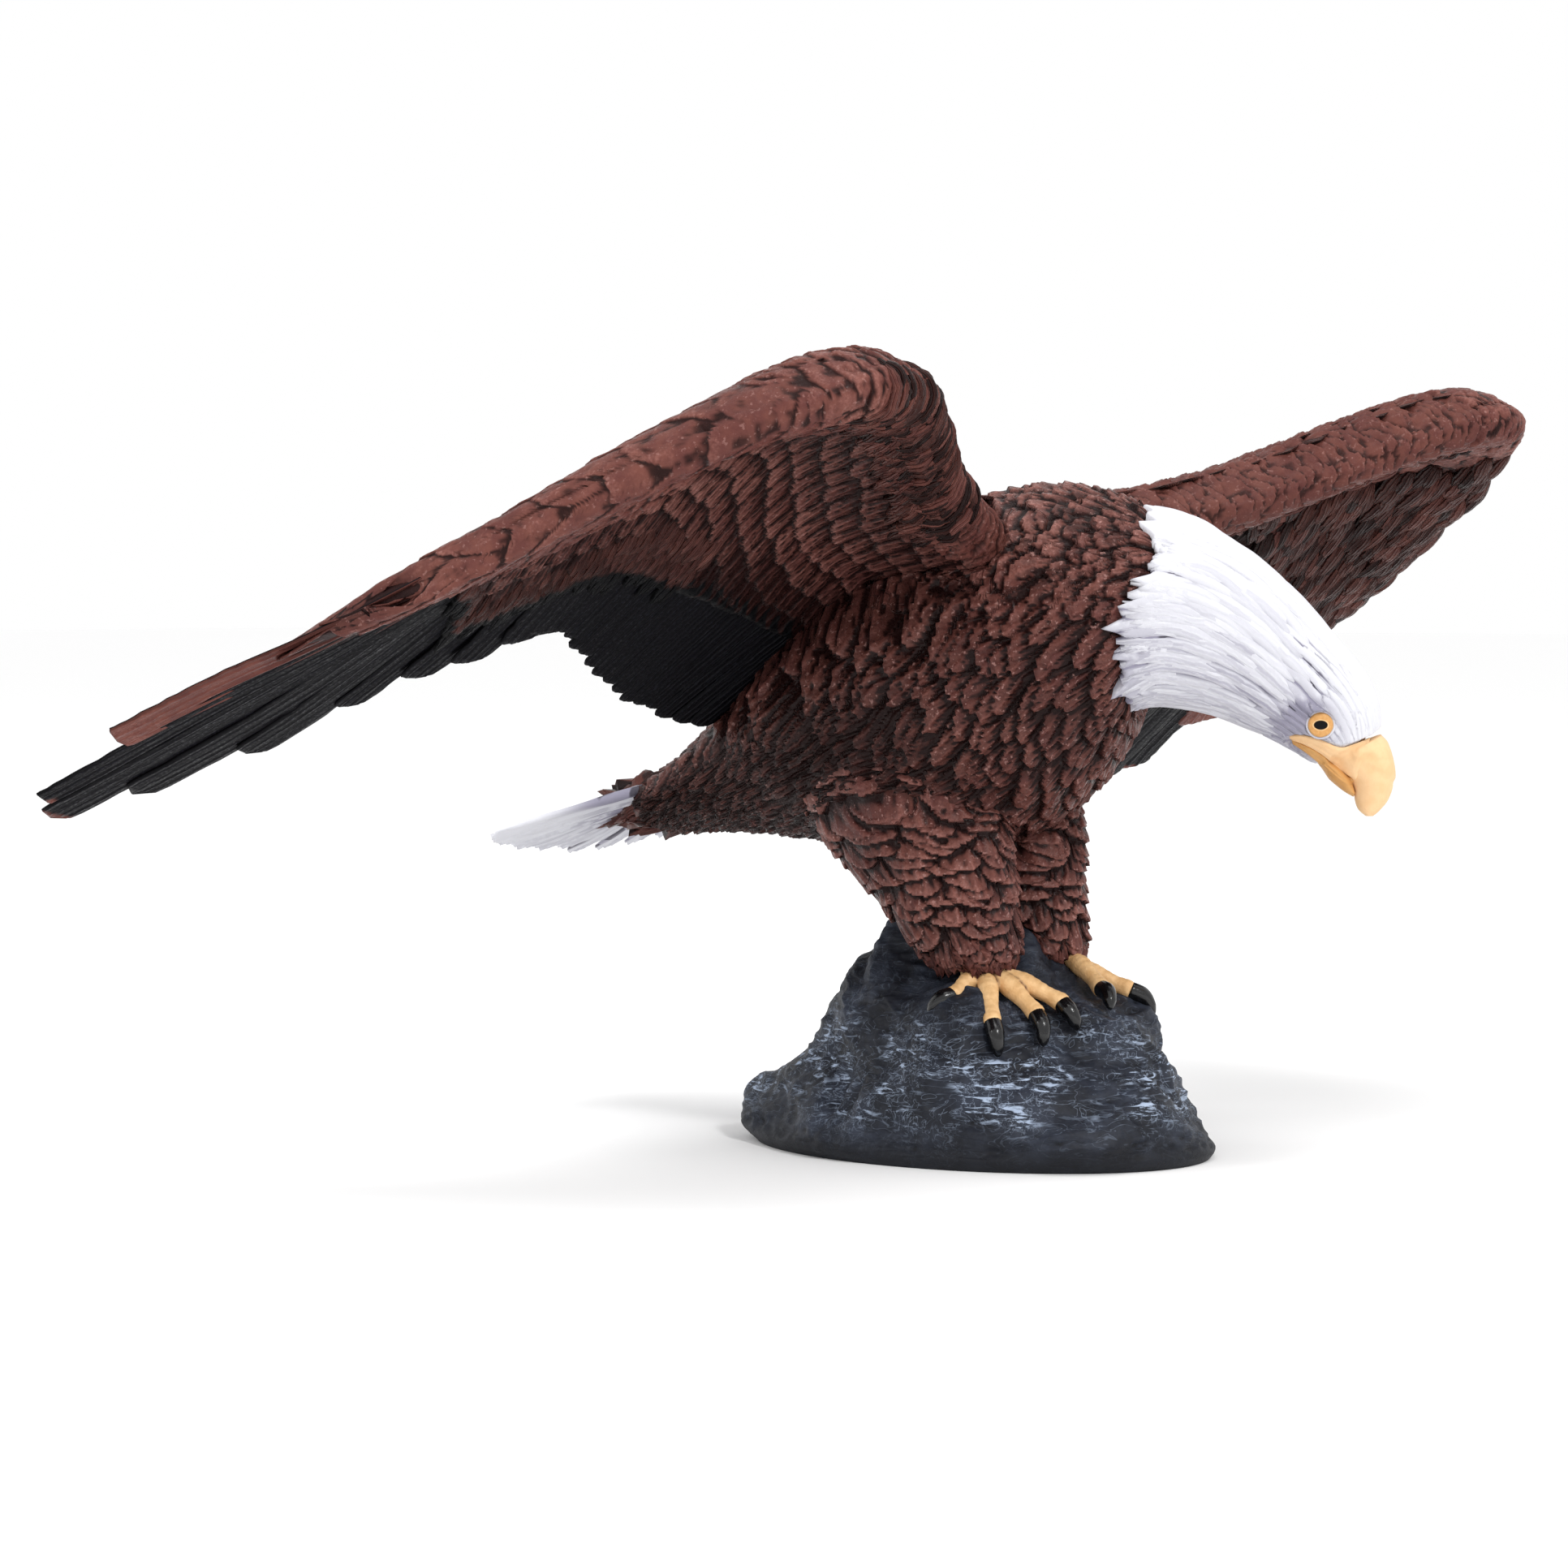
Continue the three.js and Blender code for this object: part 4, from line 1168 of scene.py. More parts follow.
nose = {"half": 1.3, "bulge": 0.9}  # of the front edge
coverts = {
    "rowBend": [(0, -0.03), (0.1, 0.0), (0.2, 0.01), (0.3, 0.04), (0.4, 0.09), (0.48, 0.13), (0.74, 0.2)],
    "under": {
        "pitch": 4.0, "row": 4.2, "wide": 0.57, "wander": 0.14, "round": 0.24, "barb": 0.8, "notch": 0.2,
        "rise": 1.15, "crown": 0.3, "ridge": 0.15, "spread": 16, "dark": 0.1,
    },
    "band": {
        "pitch": 5.5, "row": 6.0, "wide": 0.62, "wander": 0.3, "round": 0.5, "barb": 2.2, "notch": 0.1,
        "rise": 0.5, "crown": 0.1, "ridge": 0.03, "spread": 16, "dark": 0.09,
    },
    "knuckles": {
        "pitch": 3.8, "row": 2.1, "cover": 3.0, "wide": 0.57, "wander": 0.35, "round": 0.9, "barb": 1.1,
        "notch": 0.12, "rise": 0.8, "crown": 0.3, "ridge": 0.08,
    },
    "arm": {
        "pitch": 3.2, "row": 1.5, "cover": 3.0, "wide": 0.57, "wander": 0.32, "round": 0.75, "barb": 0.9,
        "notch": 0.1, "rise": 1.3, "crown": 0.3, "ridge": 0.08, "spread": 9, "dark": 0.16,
    },
    "upperRow": 4.0,
    "upperPitch": 4.6,
}
# where the black begins and where the leading band ends under the wing, as (s, v)
inkEdge = [
    (0, 0.6), (0.13, 0.6), (0.22, 0.63), (0.33, 0.73), (0.43, 0.77), (0.53, 0.77), (0.62, 0.76),
    (0.68, 0.74), (0.71, 0.56), (0.87, 0.27), (1.0, 0.22),
]
bandEdge = [
    (0, 0.07), (0.3, 0.1), (0.42, 0.14), (0.47, 0.4), (0.52, 0.56), (0.62, 0.58), (0.7, 0.54),
    (0.87, 0.27), (1.0, 0.22),
]


def inkAt(s, v):
    # 1 where the wing is painted black, 0 where brown: the outer primary's front edge stays brown
    start = 0.925 + 0.05 * smooth(v, 0.6, 0.95)
    outer = smooth(s, start, start + 0.04) * (v < 0.96)
    return smooth(v - level(inkEdge, s), -0.03, 0.045) * (1 - outer)


def wingSheet(side, face):
    # one face of the wing, as a place for each v and s
    def surface(v, s):
        return wingPoint(side, s, v, face)

    return surface


def wingOut(side, s, v, face):
    # the way out of the wing's surface, which turns forward round the front edge
    place, chordways, tipways = surfaceFrame(wingSheet(side, face), np.clip(v, 4e-3, 1), s)
    out = np.cross(chordways, tipways)
    lifted = wingPoint(side, s, v, face, 1.0) - wingPoint(side, s, v, face)
    return unit(out) * np.sign((out * lifted).sum(-1, keepdims=True))


def forwards(s):
    # from the feather tips to the front edge
    rows = len(wing["tips"]) - 1
    return curveAt(wing["frontEdge"], s * rows) - curveAt(wing["tips"], s * rows)


def wrapPoint(side, s, g):
    # a place round the front edge: g is the distance in mm from it, above 0 on top and below 0 under
    s, g = np.broadcast_arrays(np.asarray(s, float), np.asarray(g, float))
    front = forwards(s)
    v = np.clip((np.abs(g) - nose["half"]) / np.linalg.norm(front, axis=-1), 0, 0.99)
    top, under = wingPoint(side, s, v, 1), wingPoint(side, s, v, -1)
    share = np.clip((g / nose["half"] + 1) / 2, 0, 1)[..., None]
    bulge = np.sqrt(np.clip(1 - (g / nose["half"]) ** 2, 0, 1))[..., None] * nose["bulge"]
    return under + (top - under) * share + unit(front) * [side, 1, 1] * bulge


def wrapFrame(side, s, g):
    place, tipways, around = surfaceFrame(partial(wrapPoint, side), s, g)
    out = unit(np.cross(around, tipways))
    lifted = wingPoint(side, s, 0.3, 1, 1.0) - wingPoint(side, s, 0.3, 1)
    facing = np.sign(((lifted * out).sum(-1) * g).sum())  # one sign from the places well off the edge
    near = (np.abs(g) < 3) & (s < 0.86)
    sign = np.sign(((place - wingPoint(side, s, 0.12, 0)) * out).sum(-1))
    return place, tipways, around, out * np.where(near, sign, facing)[..., None]


def underCoverts(side):
    # barbed rows under the wing, darker at its rear and on the wing in shade
    count, down = 321, 177
    s = np.broadcast_to(np.linspace(0.004, 0.74, count)[None], (down, count))
    f = np.linspace(0, 1, down)[:, None]
    low = np.maximum(level(bandEdge, s) - 0.03, 0.03)
    high = level(inkEdge, s) + 0.06
    v = low + (high - low) * f
    place = wingPoint(side, s, v, -1)
    out = wingOut(side, s, v, -1)
    q = v + level(coverts["rowBend"], s)
    ends = smooth(s, 0.004, 0.012) * smooth(-s, -0.74, -0.72)
    fade = smooth(f, 0.0, 0.02) * smooth(-f, -1.0, -0.94) * ends
    dusk = smooth(v - level(inkEdge, s), -0.22, 0.02)
    ink = inkAt(s, v + 0.03 * np.sin(s * 260 + 3 * np.sin(v * 40)))
    shape = coverts["under"]
    # painted shade: the far wing's underside nearly black, and darker under the near forearm's strands so the
    # gaps between them look shaded
    arm = smooth(-v, -0.4, -0.22) * smooth(-s, -0.5, -0.42)
    shade = (0.36 + 0.2 * arm if side < 0 else 1.25) + 0.6 * dusk
    across = s * wing["span"] + v * 6 + 0.8 * wander(place, 8.0, 7)
    along = q * 52 + 0.7 * wander(place, 7.0, 8)
    wearAndLight = 0.12 + 0 * s
    return mould("under", place, out, across, along, shape, 31 + side, -0.7, fade, ink, wearAndLight, shade, (), 0.85)


def bandCoat(side):
    # the leading band of the hand, round the front edge, nearly smooth but for lobes at the wrist
    count, down = 321, 137
    s = np.broadcast_to(np.linspace(0.4, 0.998, count)[None], (down, count))
    f = np.linspace(0, 1, down)[:, None]
    chord = np.linalg.norm(forwards(s), axis=-1)
    low = -level(bandEdge, s) * chord - nose["half"]
    high = (0.27 + 0.15 * smooth(s, 0.72, 0.88)) * chord
    g = low + (high - low) * f
    place, tipways, around, out = wrapFrame(side, s, g)
    place = place - out * smooth(s, 0.93, 0.995)[..., None] * 0.9
    ends = smooth(s, 0.4, 0.41) * smooth(-s, -0.995, -0.9)
    fade = smooth(f, 0.0, 0.012) * smooth(-f, -1.0, -0.96) * ends
    across = g + 400 + 1.4 * wander(place, 7.0, 9)
    along = s * wing["span"] + 1.6 * wander(place, 6.0, 10)
    flat, _, _ = relief(across, along, coverts["band"], 41)
    flat = np.maximum(flat, np.median(flat) - 0.2)  # no gap between the lobes goes down to the flesh
    bumpy, _, _ = relief(across, along, coverts["knuckles"], 42)
    plain = smooth(s, 0.5, 0.64)
    lift = bumpy * (1 - plain) + flat * plain
    # the band is pale, partly the paint's own paler brown and partly painted light where it faces up; on the
    # far wing its underside is darkened as painted shade
    dusk = smooth(s, 0.53, 0.6) * smooth(-g, 1.0, 3.5) if side > 0 else 0 * s
    pale, dark = 0.34 - 0.3 * dusk, dusk - 0.02
    return edgeMould("band", place, out, lift, coverts["band"], 0.1, fade, pale, dark, 0.9)


def edgeMould(name, place, out, lift, shape, base, fade, wearAndLight, shade, deep):
    # a moulded sheet round the front edge; deep is how dark its hollows are, the toy's dark wash with painted
    # shade
    places = [Vector(p) for p in place.reshape(-1, 3).tolist()]
    rough = [noise.noise(p / 2.6) + 0.5 * noise.noise(p / 0.9) for p in places]
    lift = lift + 0.14 * np.array(rough).reshape(lift.shape)
    hollow, ridge = creases(lift, shape)
    lift = (lift + base) * fade - 0.6 * (1 - fade)
    top = place + out * lift[..., None]
    vane = np.broadcast_to([0.5, 0.6], (*lift.shape, 2))
    # the sinking border is darkened as painted shade
    values = {"ink": 0 * lift, "wearAndLight": wearAndLight + 0.25 * ridge, "shade": shade + deep * hollow + 0.4 * (1 - fade)}
    return mouldMesh(name, top, place - out * 0.85, vane, values)


def armCoat(side):
    # crescents along the front of the forearm, open towards the wrist
    count, down = 301, 97
    s = np.broadcast_to(np.linspace(0.0, 0.5, count)[None], (down, count))
    f = np.linspace(0, 1, down)[:, None]
    low = -9.5 if side > 0 else -2.5 - 5.5 * (1 - smooth(s, 0.14, 0.26))
    g = low + (15 - low) * f
    place, tipways, around, out = wrapFrame(side, s, g)
    ends = smooth(-s, -0.5, -0.485) * smooth(s, 0.0, 0.09)
    fade = smooth(f, 0.0, 0.03) * smooth(-f, -1.0, -0.96) * ends
    across = g + 400 + 1.0 * wander(place, 6.0, 11)
    along = s * wing["span"] + 1.0 * wander(place, 6.0, 12)
    crescents, _, _ = relief(across, along, coverts["arm"], 43)
    return edgeMould("arm", place, out, crescents, coverts["arm"], -0.6, fade, 0.2, 0.08, 0.66)


def upperCoverts(side):
    # vanes on the wing's top, which turn from the chord towards the tip past the wrist
    draw = np.random.default_rng(51 + side)
    surface = wingSheet(side, 1)
    rows = rowSteps(surface, 0.1, 0.56, [0.15, 0.4, 0.6], coverts["upperRow"])
    tile = (0.02, 0.52, 0.46, 0.46)
    v, s, root = layRows(surface, rows, 0.015, 0.985, coverts["upperPitch"], (0.008, 0.006), tile, draw)
    s, v = np.clip(s, 0.002, 0.998), np.clip(v, 0.0, 0.99)
    place, chordways, tipways = surfaceFrame(surface, np.clip(v, 4e-3, 1), s)
    out = wingOut(side, s, v, 1)
    turn = (0.05 + 0.75 * smooth(s, 0.45, 0.7))[:, None]
    size = [coverts["upperPitch"] * 1.2, coverts["upperRow"] * 2.0]
    laid = {
        "size": size * draw.uniform(0.88, 1.14, (len(s), 1)),
        "place": place - out * (0.05 + 0.5 * smooth(s, 0.5, 0.62))[:, None],
        "lie": unit(chordways * (1 - turn) + tipways * turn), "out": out, "root": root,
        "ink": smooth(v, 0.4, 0.5),
        "wearAndLight": draw.uniform(0, 0.3, len(s)),
        "shade": draw.uniform(-0.05, 0.2, len(s)),
    }
    return pick(laid, (s < 0.55) | ((v > 0.24) & (s < 0.66)))


def armHair(side, draw, start, share):
    # strands round the forearm's front edge, from start mm behind it
    count = 64
    s = np.linspace(0.15, 0.47, count) + draw.uniform(-0.012, 0.012, count)
    g = start + draw.uniform(-1.1, 1.1, count)
    length = draw.uniform(2.2, 5.0, count)
    bend = draw.normal(0, 0.7, count)
    ss = s[:, None] + (bend[:, None] * share + 0.5 * np.sin(share * 5 + g[:, None])) / wing["span"]
    place, _, _, out = wrapFrame(side, np.clip(ss, 0.001, 0.999), g[:, None] - length[:, None] * share)
    tone = draw.uniform(-0.2, 1.1, count)
    raised = 0.3 + draw.uniform(0, 0.6, (count, 1, 1))
    return place + out * raised, out, draw.uniform(0.6, 1.05, count), ss, 0 * ss, tone


def tufts(side, draw, step, share):
    # ragged strands on the under side: all over the left wing, by the black's edge on the right
    count = 64 if side > 0 else 96
    if side > 0:
        s = np.linspace(0.36, 0.96, count) + draw.uniform(-0.012, 0.012, count)
        v = 0.03 + 0.052 * step + draw.uniform(-0.03, 0.03, count)
        fit = (v > level(bandEdge, s) - 0.02) | (s > 0.55)
        fit &= v < level(inkEdge, s) + 0.06 + 0.3 * (s > 0.7)
    else:
        s = np.linspace(0.3, 0.97, count) + draw.uniform(-0.006, 0.006, count)
        low, high = level(bandEdge, s), level(inkEdge, s)
        v = low + 0.02 + (high - low - 0.06) * (0.84 + step * 0.08) + draw.uniform(-0.03, 0.03, count)
        fit = (v < high + 0.02) & (high - low > 0.03)
    s, v = s[fit], np.maximum(v[fit], 0.01)
    count = len(s)
    length = draw.uniform(6, 11, count) if side > 0 else draw.uniform(4, 7, count)
    chord = np.linalg.norm(wingPoint(side, s, 1.0, 0) - wingPoint(side, s, 0.0, 0), axis=-1)
    lean = (0.75 if side > 0 else 0.0) + draw.normal(0, 0.09, count)
    ss = np.clip(s[:, None] + (length * lean)[:, None] * share / 130, 0.001, 0.999)
    vs = np.clip(v[:, None] + (length * (1 - np.abs(lean)) / chord)[:, None] * share, 0, 0.99)
    shade = draw.uniform(0.1, 0.4, count) + 0.1 + 0.3 * smooth(v - level(inkEdge, s), -0.2, 0.0)
    wide = draw.uniform(0.8, 1.2, count)
    out = wingOut(side, ss, vs, -1)
    centre = wingPoint(side, ss, vs, -1)
    if side > 0:
        shade, wide = draw.uniform(0.2, 0.95, count), draw.uniform(1.4, 2.3, count)
        centre = centre + out * 0.55
    return centre, out, wide, ss, inkAt(ss, vs) * (side < 0), shade


def wingHair(side):
    draw = np.random.default_rng(56 + side)
    share = np.linspace(0, 1, 10)[None]
    starts = (1.5, 0.0, -1.6, -3.2, -4.8, -6.4) if side < 0 else (-6.5,)
    sets = [armHair(side, draw, start, share) for start in starts]
    sets += [tufts(side, draw, step, share) for step in range(11 if side > 0 else 3)]
    centres, outs, width, ss, ink, shade = (np.concatenate(each) for each in zip(*sets))
    count = len(width)
    bold = np.where(width > 1.3, 1.9, 1.25)[:, None]
    rise = 0.62 * bold * np.sin(np.pi * (0.12 + 0.8 * share)) * draw.uniform(0.7, 1.3, count)[:, None]
    taper = np.interp(share, [0, 0.2, 0.65, 1], [0.5, 1.0, 0.85, 0.12])
    raised = (0.35 * share + 0.05) * bold * draw.uniform(0.4, 1.2, count)[:, None]
    centres = centres + outs * raised[..., None]
    root = np.stack([0.05 + 0.9 * ss[:, 0], 0.05 + 0.9 * np.arange(count) / count], -1)
    values = {"ink": ink, "wearAndLight": 0.1 + draw.uniform(-0.1, 0.3, count), "shade": shade}
    return strandMesh("hair", centres, outs, width[:, None] * 0.6 * taper, rise, 4, 0.35, root, values)


# Flight feathers

flight = {
    "secondaries": 15,
    "primaries": [  # root, middle and tip as s and v, then half width in mm
        (0.45, 0.38, 0.462, 0.7, 0.475, 0.99, 4.6), (0.49, 0.38, 0.512, 0.7, 0.535, 0.99, 4.4),
        (0.52, 0.38, 0.56, 0.7, 0.605, 0.985, 4.3), (0.55, 0.38, 0.605, 0.68, 0.66, 0.965, 4.3),
        (0.58, 0.37, 0.655, 0.67, 0.72, 0.97, 4.3), (0.62, 0.35, 0.71, 0.66, 0.798, 1.0, 5.6),
        (0.65, 0.32, 0.765, 0.62, 0.85, 1.0, 6.0), (0.69, 0.29, 0.825, 0.6, 0.893, 1.0, 5.6),
        (0.73, 0.25, 0.875, 0.52, 0.93, 1.0, 5.0), (0.78, 0.18, 0.935, 0.45, 0.985, 0.96, 5.0),
    ],
    "columns": 25,
    "steps": 36,
    "thick": 0.42,
    "tilt": 0.34,
    "ridge": 0.15,
}


def flightFeathers(side):
    draw = np.random.default_rng(61 + side)
    feathers = []
    for k in range(flight["secondaries"]):
        s = (k + 0.35) / flight["secondaries"] * 0.45
        end = 0.995 - draw.uniform(0, 0.018)
        feathers.append((s, 0.4, s, 0.7, s + 0.012, end, 0.45 / flight["secondaries"] * wing["span"] * 0.78))
    feathers += flight["primaries"]
    columns, steps = flight["columns"], flight["steps"]
    x = np.linspace(-1, 1, columns)[None]
    y = np.linspace(0, 1, steps)
    points, faces, vanes, bakes = [], [], [], []
    ink, wearAndLight = [], []
    for k, (*line, half) in enumerate(feathers):
        primary = k - flight["secondaries"]
        path = curveAt(np.array(line).reshape(3, 2), y * 2)
        path = np.clip(path, 0, 0.999)
        s, v = path.T
        centre = wingPoint(side, s, v, 0, -wing["blade"])
        out = unit(wingPoint(side, s, v, 1, 1.0) - wingPoint(side, s, v, 1))
        forward = unit(np.gradient(centre, axis=0))
        across = unit(np.cross(forward, out)) * -side
        span = np.linalg.norm(np.diff(centre, axis=0), axis=1).sum()
        toTip = (1 - y) * span
        blunt = half * (0.55 if primary >= 0 else 0.7)
        tipRound = np.sqrt(np.clip(1 - (1 - np.clip(toTip / blunt, 0, 1)) ** 2, 0.0, 1))
        narrow = 1 - 0.14 * smooth(y, 0.4, 0.95)
        wide = half * narrow * np.maximum(tipRound, 0.06)
        nick = 1 + draw.uniform(-0.05, 0.05, (steps, 1)) * smooth(y, 0.3, 0.8)[:, None] * np.abs(x) ** 6
        reach = x * wide[:, None] * nick
        body = flight["thick"] * (1 - 0.7 * x**4) * (0.35 + 0.65 * tipRound[:, None])
        lines = np.sin(x * 5.6 * np.pi + 3.2 * np.sin(y * 3 + k)[:, None] * 0.5 + draw.uniform(0, 6))
        lines = lines * (0.7 + 0.3 * np.sin(x * 13 + y[:, None] * 9)) * (1 - x**6)
        shaft = 0.24 * np.exp(-(((x + 0.05) / 0.07) ** 2)) * (1 - y[:, None])
        slope = x * flight["tilt"] * np.sqrt(tipRound)[:, None]
        for face in (1, -1):
            lift = slope + face * (body + (flight["ridge"] * lines + shaft) * (0.3 + 0.7 * tipRound[:, None]))
            spots = centre[:, None] + across[:, None] * reach[..., None] + out[:, None] * lift[..., None]
            points.append(spots.reshape(-1, 3))
            vanes.append(np.stack(np.broadcast_arrays((x + 1) / 2, y[:, None]), -1).reshape(-1, 2))
            corner = np.array([0.01 + (k % 5) * 0.198, 0.01 + (k // 5) * 0.198 + (0.099 if face > 0 else 0)])
            bakes.append(corner + vanes[-1][:, ::-1] * [0.185, 0.085])
            black = np.ones((steps, columns))
            if face < 0 and primary == 9:
                black = black * 0
            elif face < 0 and primary == 8:
                brownTip = smooth(x, -0.9, -0.2) * smooth(y[:, None], 0.9, 0.98)
                black = black * smooth(-x, -0.45, -0.05) * (1 - 0.8 * brownTip)
            elif face < 0 and primary == 7:
                black = black * (1 - 0.8 * smooth(y[:, None], 0.93, 0.99))
            ink.append(black.ravel())
            wearAndLight.append(np.full(steps * columns, 0.2 if primary >= 8 else 0.0))
        faces += slabFaces(steps, columns, k * 2 * steps * columns)
    ink = np.concatenate(ink)
    values = {"ink": ink, "wearAndLight": np.concatenate(wearAndLight), "shade": 0 * ink}
    maps = {"Vane": np.concatenate(vanes), "OFBake": np.concatenate(bakes)}
    return turnOut(makeMesh("flight", np.concatenate(points), faces, maps, values))


# Tail fan

fan = {
    "root": (0, 38, 47),
    "spread": 40,
    "length": 32.2,
    "flare": 2.4,
    "droop": 21.5,
    "sag": 1.7,
    "feathers": 9,
    "columns": 21,
    "steps": 36,
}


def tailPoint(spread, share, lift):
    # spread from -1 to 1 across the fan, share from root to tip
    angle = np.radians(fan["spread"]) * spread
    droop = math.radians(fan["droop"])
    length = (fan["length"] + fan["flare"] * spread**2) * share
    flat = length * np.cos(angle)
    back = flat * math.cos(droop) + lift * math.sin(droop)
    up = lift * math.cos(droop) - flat * math.sin(droop) - fan["sag"] * (1 - spread**2) * share**2
    return np.stack(np.broadcast_arrays(length * np.sin(angle), back, up), -1) + np.array(fan["root"], float)


def tailMesh():
    draw = np.random.default_rng(71)
    columns, steps = fan["columns"], fan["steps"]
    x = np.linspace(-1, 1, columns)[None]
    y = np.linspace(0, 1, steps)[:, None] ** 0.85
    points, faces, vanes, bakes, wash = [], [], [], [], []
    for k in range(fan["feathers"]):
        centre = (k + 0.5) / fan["feathers"] * 2 - 1
        half = 1 / fan["feathers"] * (1.25 - 0.2 * smooth(y, 0.7, 1))
        spread = centre + x * half
        back = 0.045 * np.abs(x) ** 3 + draw.uniform(0, 0.012, (1, columns)) + 0.055 * ((k * 5) % 4) / 3
        share = 0.25 + (1 - back - 0.25) * y
        layer = 0.9 * (1 - abs(centre)) - 0.4
        body = 0.42 * (1 - 0.7 * x**4) * (1 - 0.5 * smooth(y, 0.85, 1)) + 0.35 * (1 - y)
        rib = 0.24 * np.sin((x * 4.5 + 0.6 * y) * np.pi + k) * (0.6 + 0.4 * np.sin(y * 17 + x * 6 + k))
        rib = rib * (1 - x**6) + 0.2 * np.exp(-((x / 0.09) ** 2)) * (1 - 0.7 * y)
        for face in (1, -1):
            lift = layer + x * 0.18 * np.sign(centre + 1e-6) + face * (body + rib)
            points.append(tailPoint(spread, share, lift).reshape(-1, 3))
            vanes.append(np.stack(np.broadcast_arrays((x + 1) / 2, y), -1).reshape(-1, 2))
            corner = np.array([0.02 + (k % 3) * 0.32, 0.02 + (k // 3) * 0.32 + (0.15 if face > 0 else 0)])
            bakes.append(corner + vanes[-1][:, ::-1] * [0.3, 0.14])
            # darker towards the root; the middle feathers' undersides darker as painted shade
            base = 1.2 * (1 - smooth(share, 0.45, 0.85)) + 0.72 * (face < 0) * smooth(-abs(centre), -0.85, -0.6)
            wash.append(np.broadcast_to(base + 0 * x, (steps, columns)).ravel())
        faces += slabFaces(steps, columns, k * 2 * steps * columns)
    wash = np.concatenate(wash)
    maps = {"Vane": np.concatenate(vanes), "OFBake": np.concatenate(bakes)}
    return turnOut(makeMesh("tail", np.concatenate(points), faces, maps, {"wash": wash, "shade": 0 * wash}))


# Hood: locks from the face back over the neck

hood = {
    "front": 15.95,  # where on the spine the sheet starts
    "waves": {
        "pitch": 1.45, "row": 8.0, "around": 36, "wide": 0.62, "wander": 0.42, "round": 0.8, "barb": 7.0,
        "notch": 0.1, "rise": 0.3, "crown": 0.42, "ridge": 0.0,
    },
    "edge": [  # its hind edge as degrees from the back and place on the spine
        (0, 9.15), (31, 8.85), (55, 9.1), (70, 9.05), (84, 8.7), (98, 8.55), (123, 8.65), (131, 8.5),
        (160, 8.8), (180, 9.05),
    ],
}
locks = {  # strands over the neck, in rows from the face back
    "rows": 15,
    "firstRow": 15.8,
    "lastRow": 9.5,
    "pitch": 1.35,
    "steps": 9,
    "columns": 4,
}


def hoodMould(ground):
    # the white head and neck: smooth on the crown, with wavy grooves on the neck and a lobed hind edge
    columns, rows = 441, 173
    angle = np.linspace(-np.pi, np.pi, columns)[None]
    f = np.linspace(0, 1, rows)[:, None]
    lobes = 0.3 * (np.abs(np.sin(angle * 7.5 + 1.1 + 0.5 * np.sin(angle * 3))) ** 0.6 - 0.6)
    lobes = lobes + 0.1 * np.sin(angle * 29 + 2) + 0.07 * np.sin(angle * 47)
    end = level(hood["edge"], np.degrees(np.abs(angle))) - lobes
    t = hood["front"] + (end - hood["front"]) * f
    place = bodyPoint(t, angle)
    out = unit(bodyPoint(t, angle, 1.0) - place)
    spots, normals = drape(ground, place, out)
    shape = hood["waves"]
    along = (hood["front"] - t) * 5
    across = angle * shape["pitch"] * shape["around"] / (2 * np.pi)
    across = across + 0.5 * wander(place, 7.0, 13) + 0.35 * wander(place, 3.5, 14)
    waves, high, aside = relief(across, along, shape, 81)
    crown = smooth(np.cos(angle), 0.35, 0.85)
    neck = smooth(-t, -14.6, -12.2)
    flow = waves * (0.3 + 0.7 * neck) * (1 - 0.72 * crown) + 0.12 * wander(place, 3.0, 15)
    headAlong, headHeight, headOut = headPlace(place)
    brow = eyeShare(headAlong + 1.2, headHeight - 2.3, 3.4, 0.9) * (np.abs(headOut) > 2)
    lift = flow - 0.05 + 0.7 * smooth(f, 0.78, 0.97) + 0.3 * brow
    toEye = np.hypot(headAlong - eye["along"], headHeight - eye["height"])
    socket = (1 - smooth(toEye, eye["radius"] - 0.12, eye["radius"] + 0.25)) * (np.abs(headOut) > 2)
    overMouth = headHeight - level(bill["upperLine"], headAlong)
    overJaw = headHeight - level(bill["jawLine"], headAlong)
    mouth = smooth(overJaw, -0.5, -0.1) * smooth(-overMouth, -0.25, 0.1)
    socket = np.maximum(socket, mouth * smooth(headAlong, 16.7, 17.6) * (np.abs(headOut) > 1.5))
    fade = (1 - socket) * smooth(f, 0.0, 0.01) * smooth(-f, -1.0, -0.993)
    groove = blur(waves, 10) - waves
    hollow = smooth(groove, 0.0, 0.045) * (1 - 0.8 * crown) * (0.35 + 0.65 * neck)
    # painted shadow of the brow above and behind the eye
    browShade = eyeShare(headAlong + 1.6, headHeight - 1.6, 2.0, 1.2)
    browShade = browShade + 0.5 * eyeShare(headAlong + 3.4, headHeight - 0.2, 1.8, 1.4)
    # painted shade on the lower side of the neck
    side = smooth(-np.cos(angle), -0.5, 0.5) * (1 - 0.5 * smooth(t, 14, 15.5))
    top = spots + normals * (lift * fade - 0.7 * (1 - fade))[..., None]
    vane = np.stack([0.5 + 0.5 * hollow, 0.6 + 0 * hollow], -1)
    flecks = smooth(wander(place, 1.1, 16), 0.34, 0.5) * smooth(hollow, 0.2, 0.8)
    # hollows lilac, the toy's wash with painted shade; the socket round the eye and mouth a little darker as
    # painted shade
    wash = np.clip(0.14 + 0.65 * side + 0.9 * browShade + 0.45 * hollow, 0, 1)
    shade = 0.42 * hollow + 0.5 * browShade + 0.2 * side + 0.04 + 0.1 * socket + 0.5 * flecks
    return mouldMesh("hood", top, spots - normals * 1.7, vane, {"wash": wash, "shade": shade})


def eyeShare(along, height, wide, tall):
    # 1 at the eye's own place and falling away round it
    return np.exp(-(((along - eye["along"]) / wide) ** 2) - ((height - eye["height"]) / tall) ** 2)


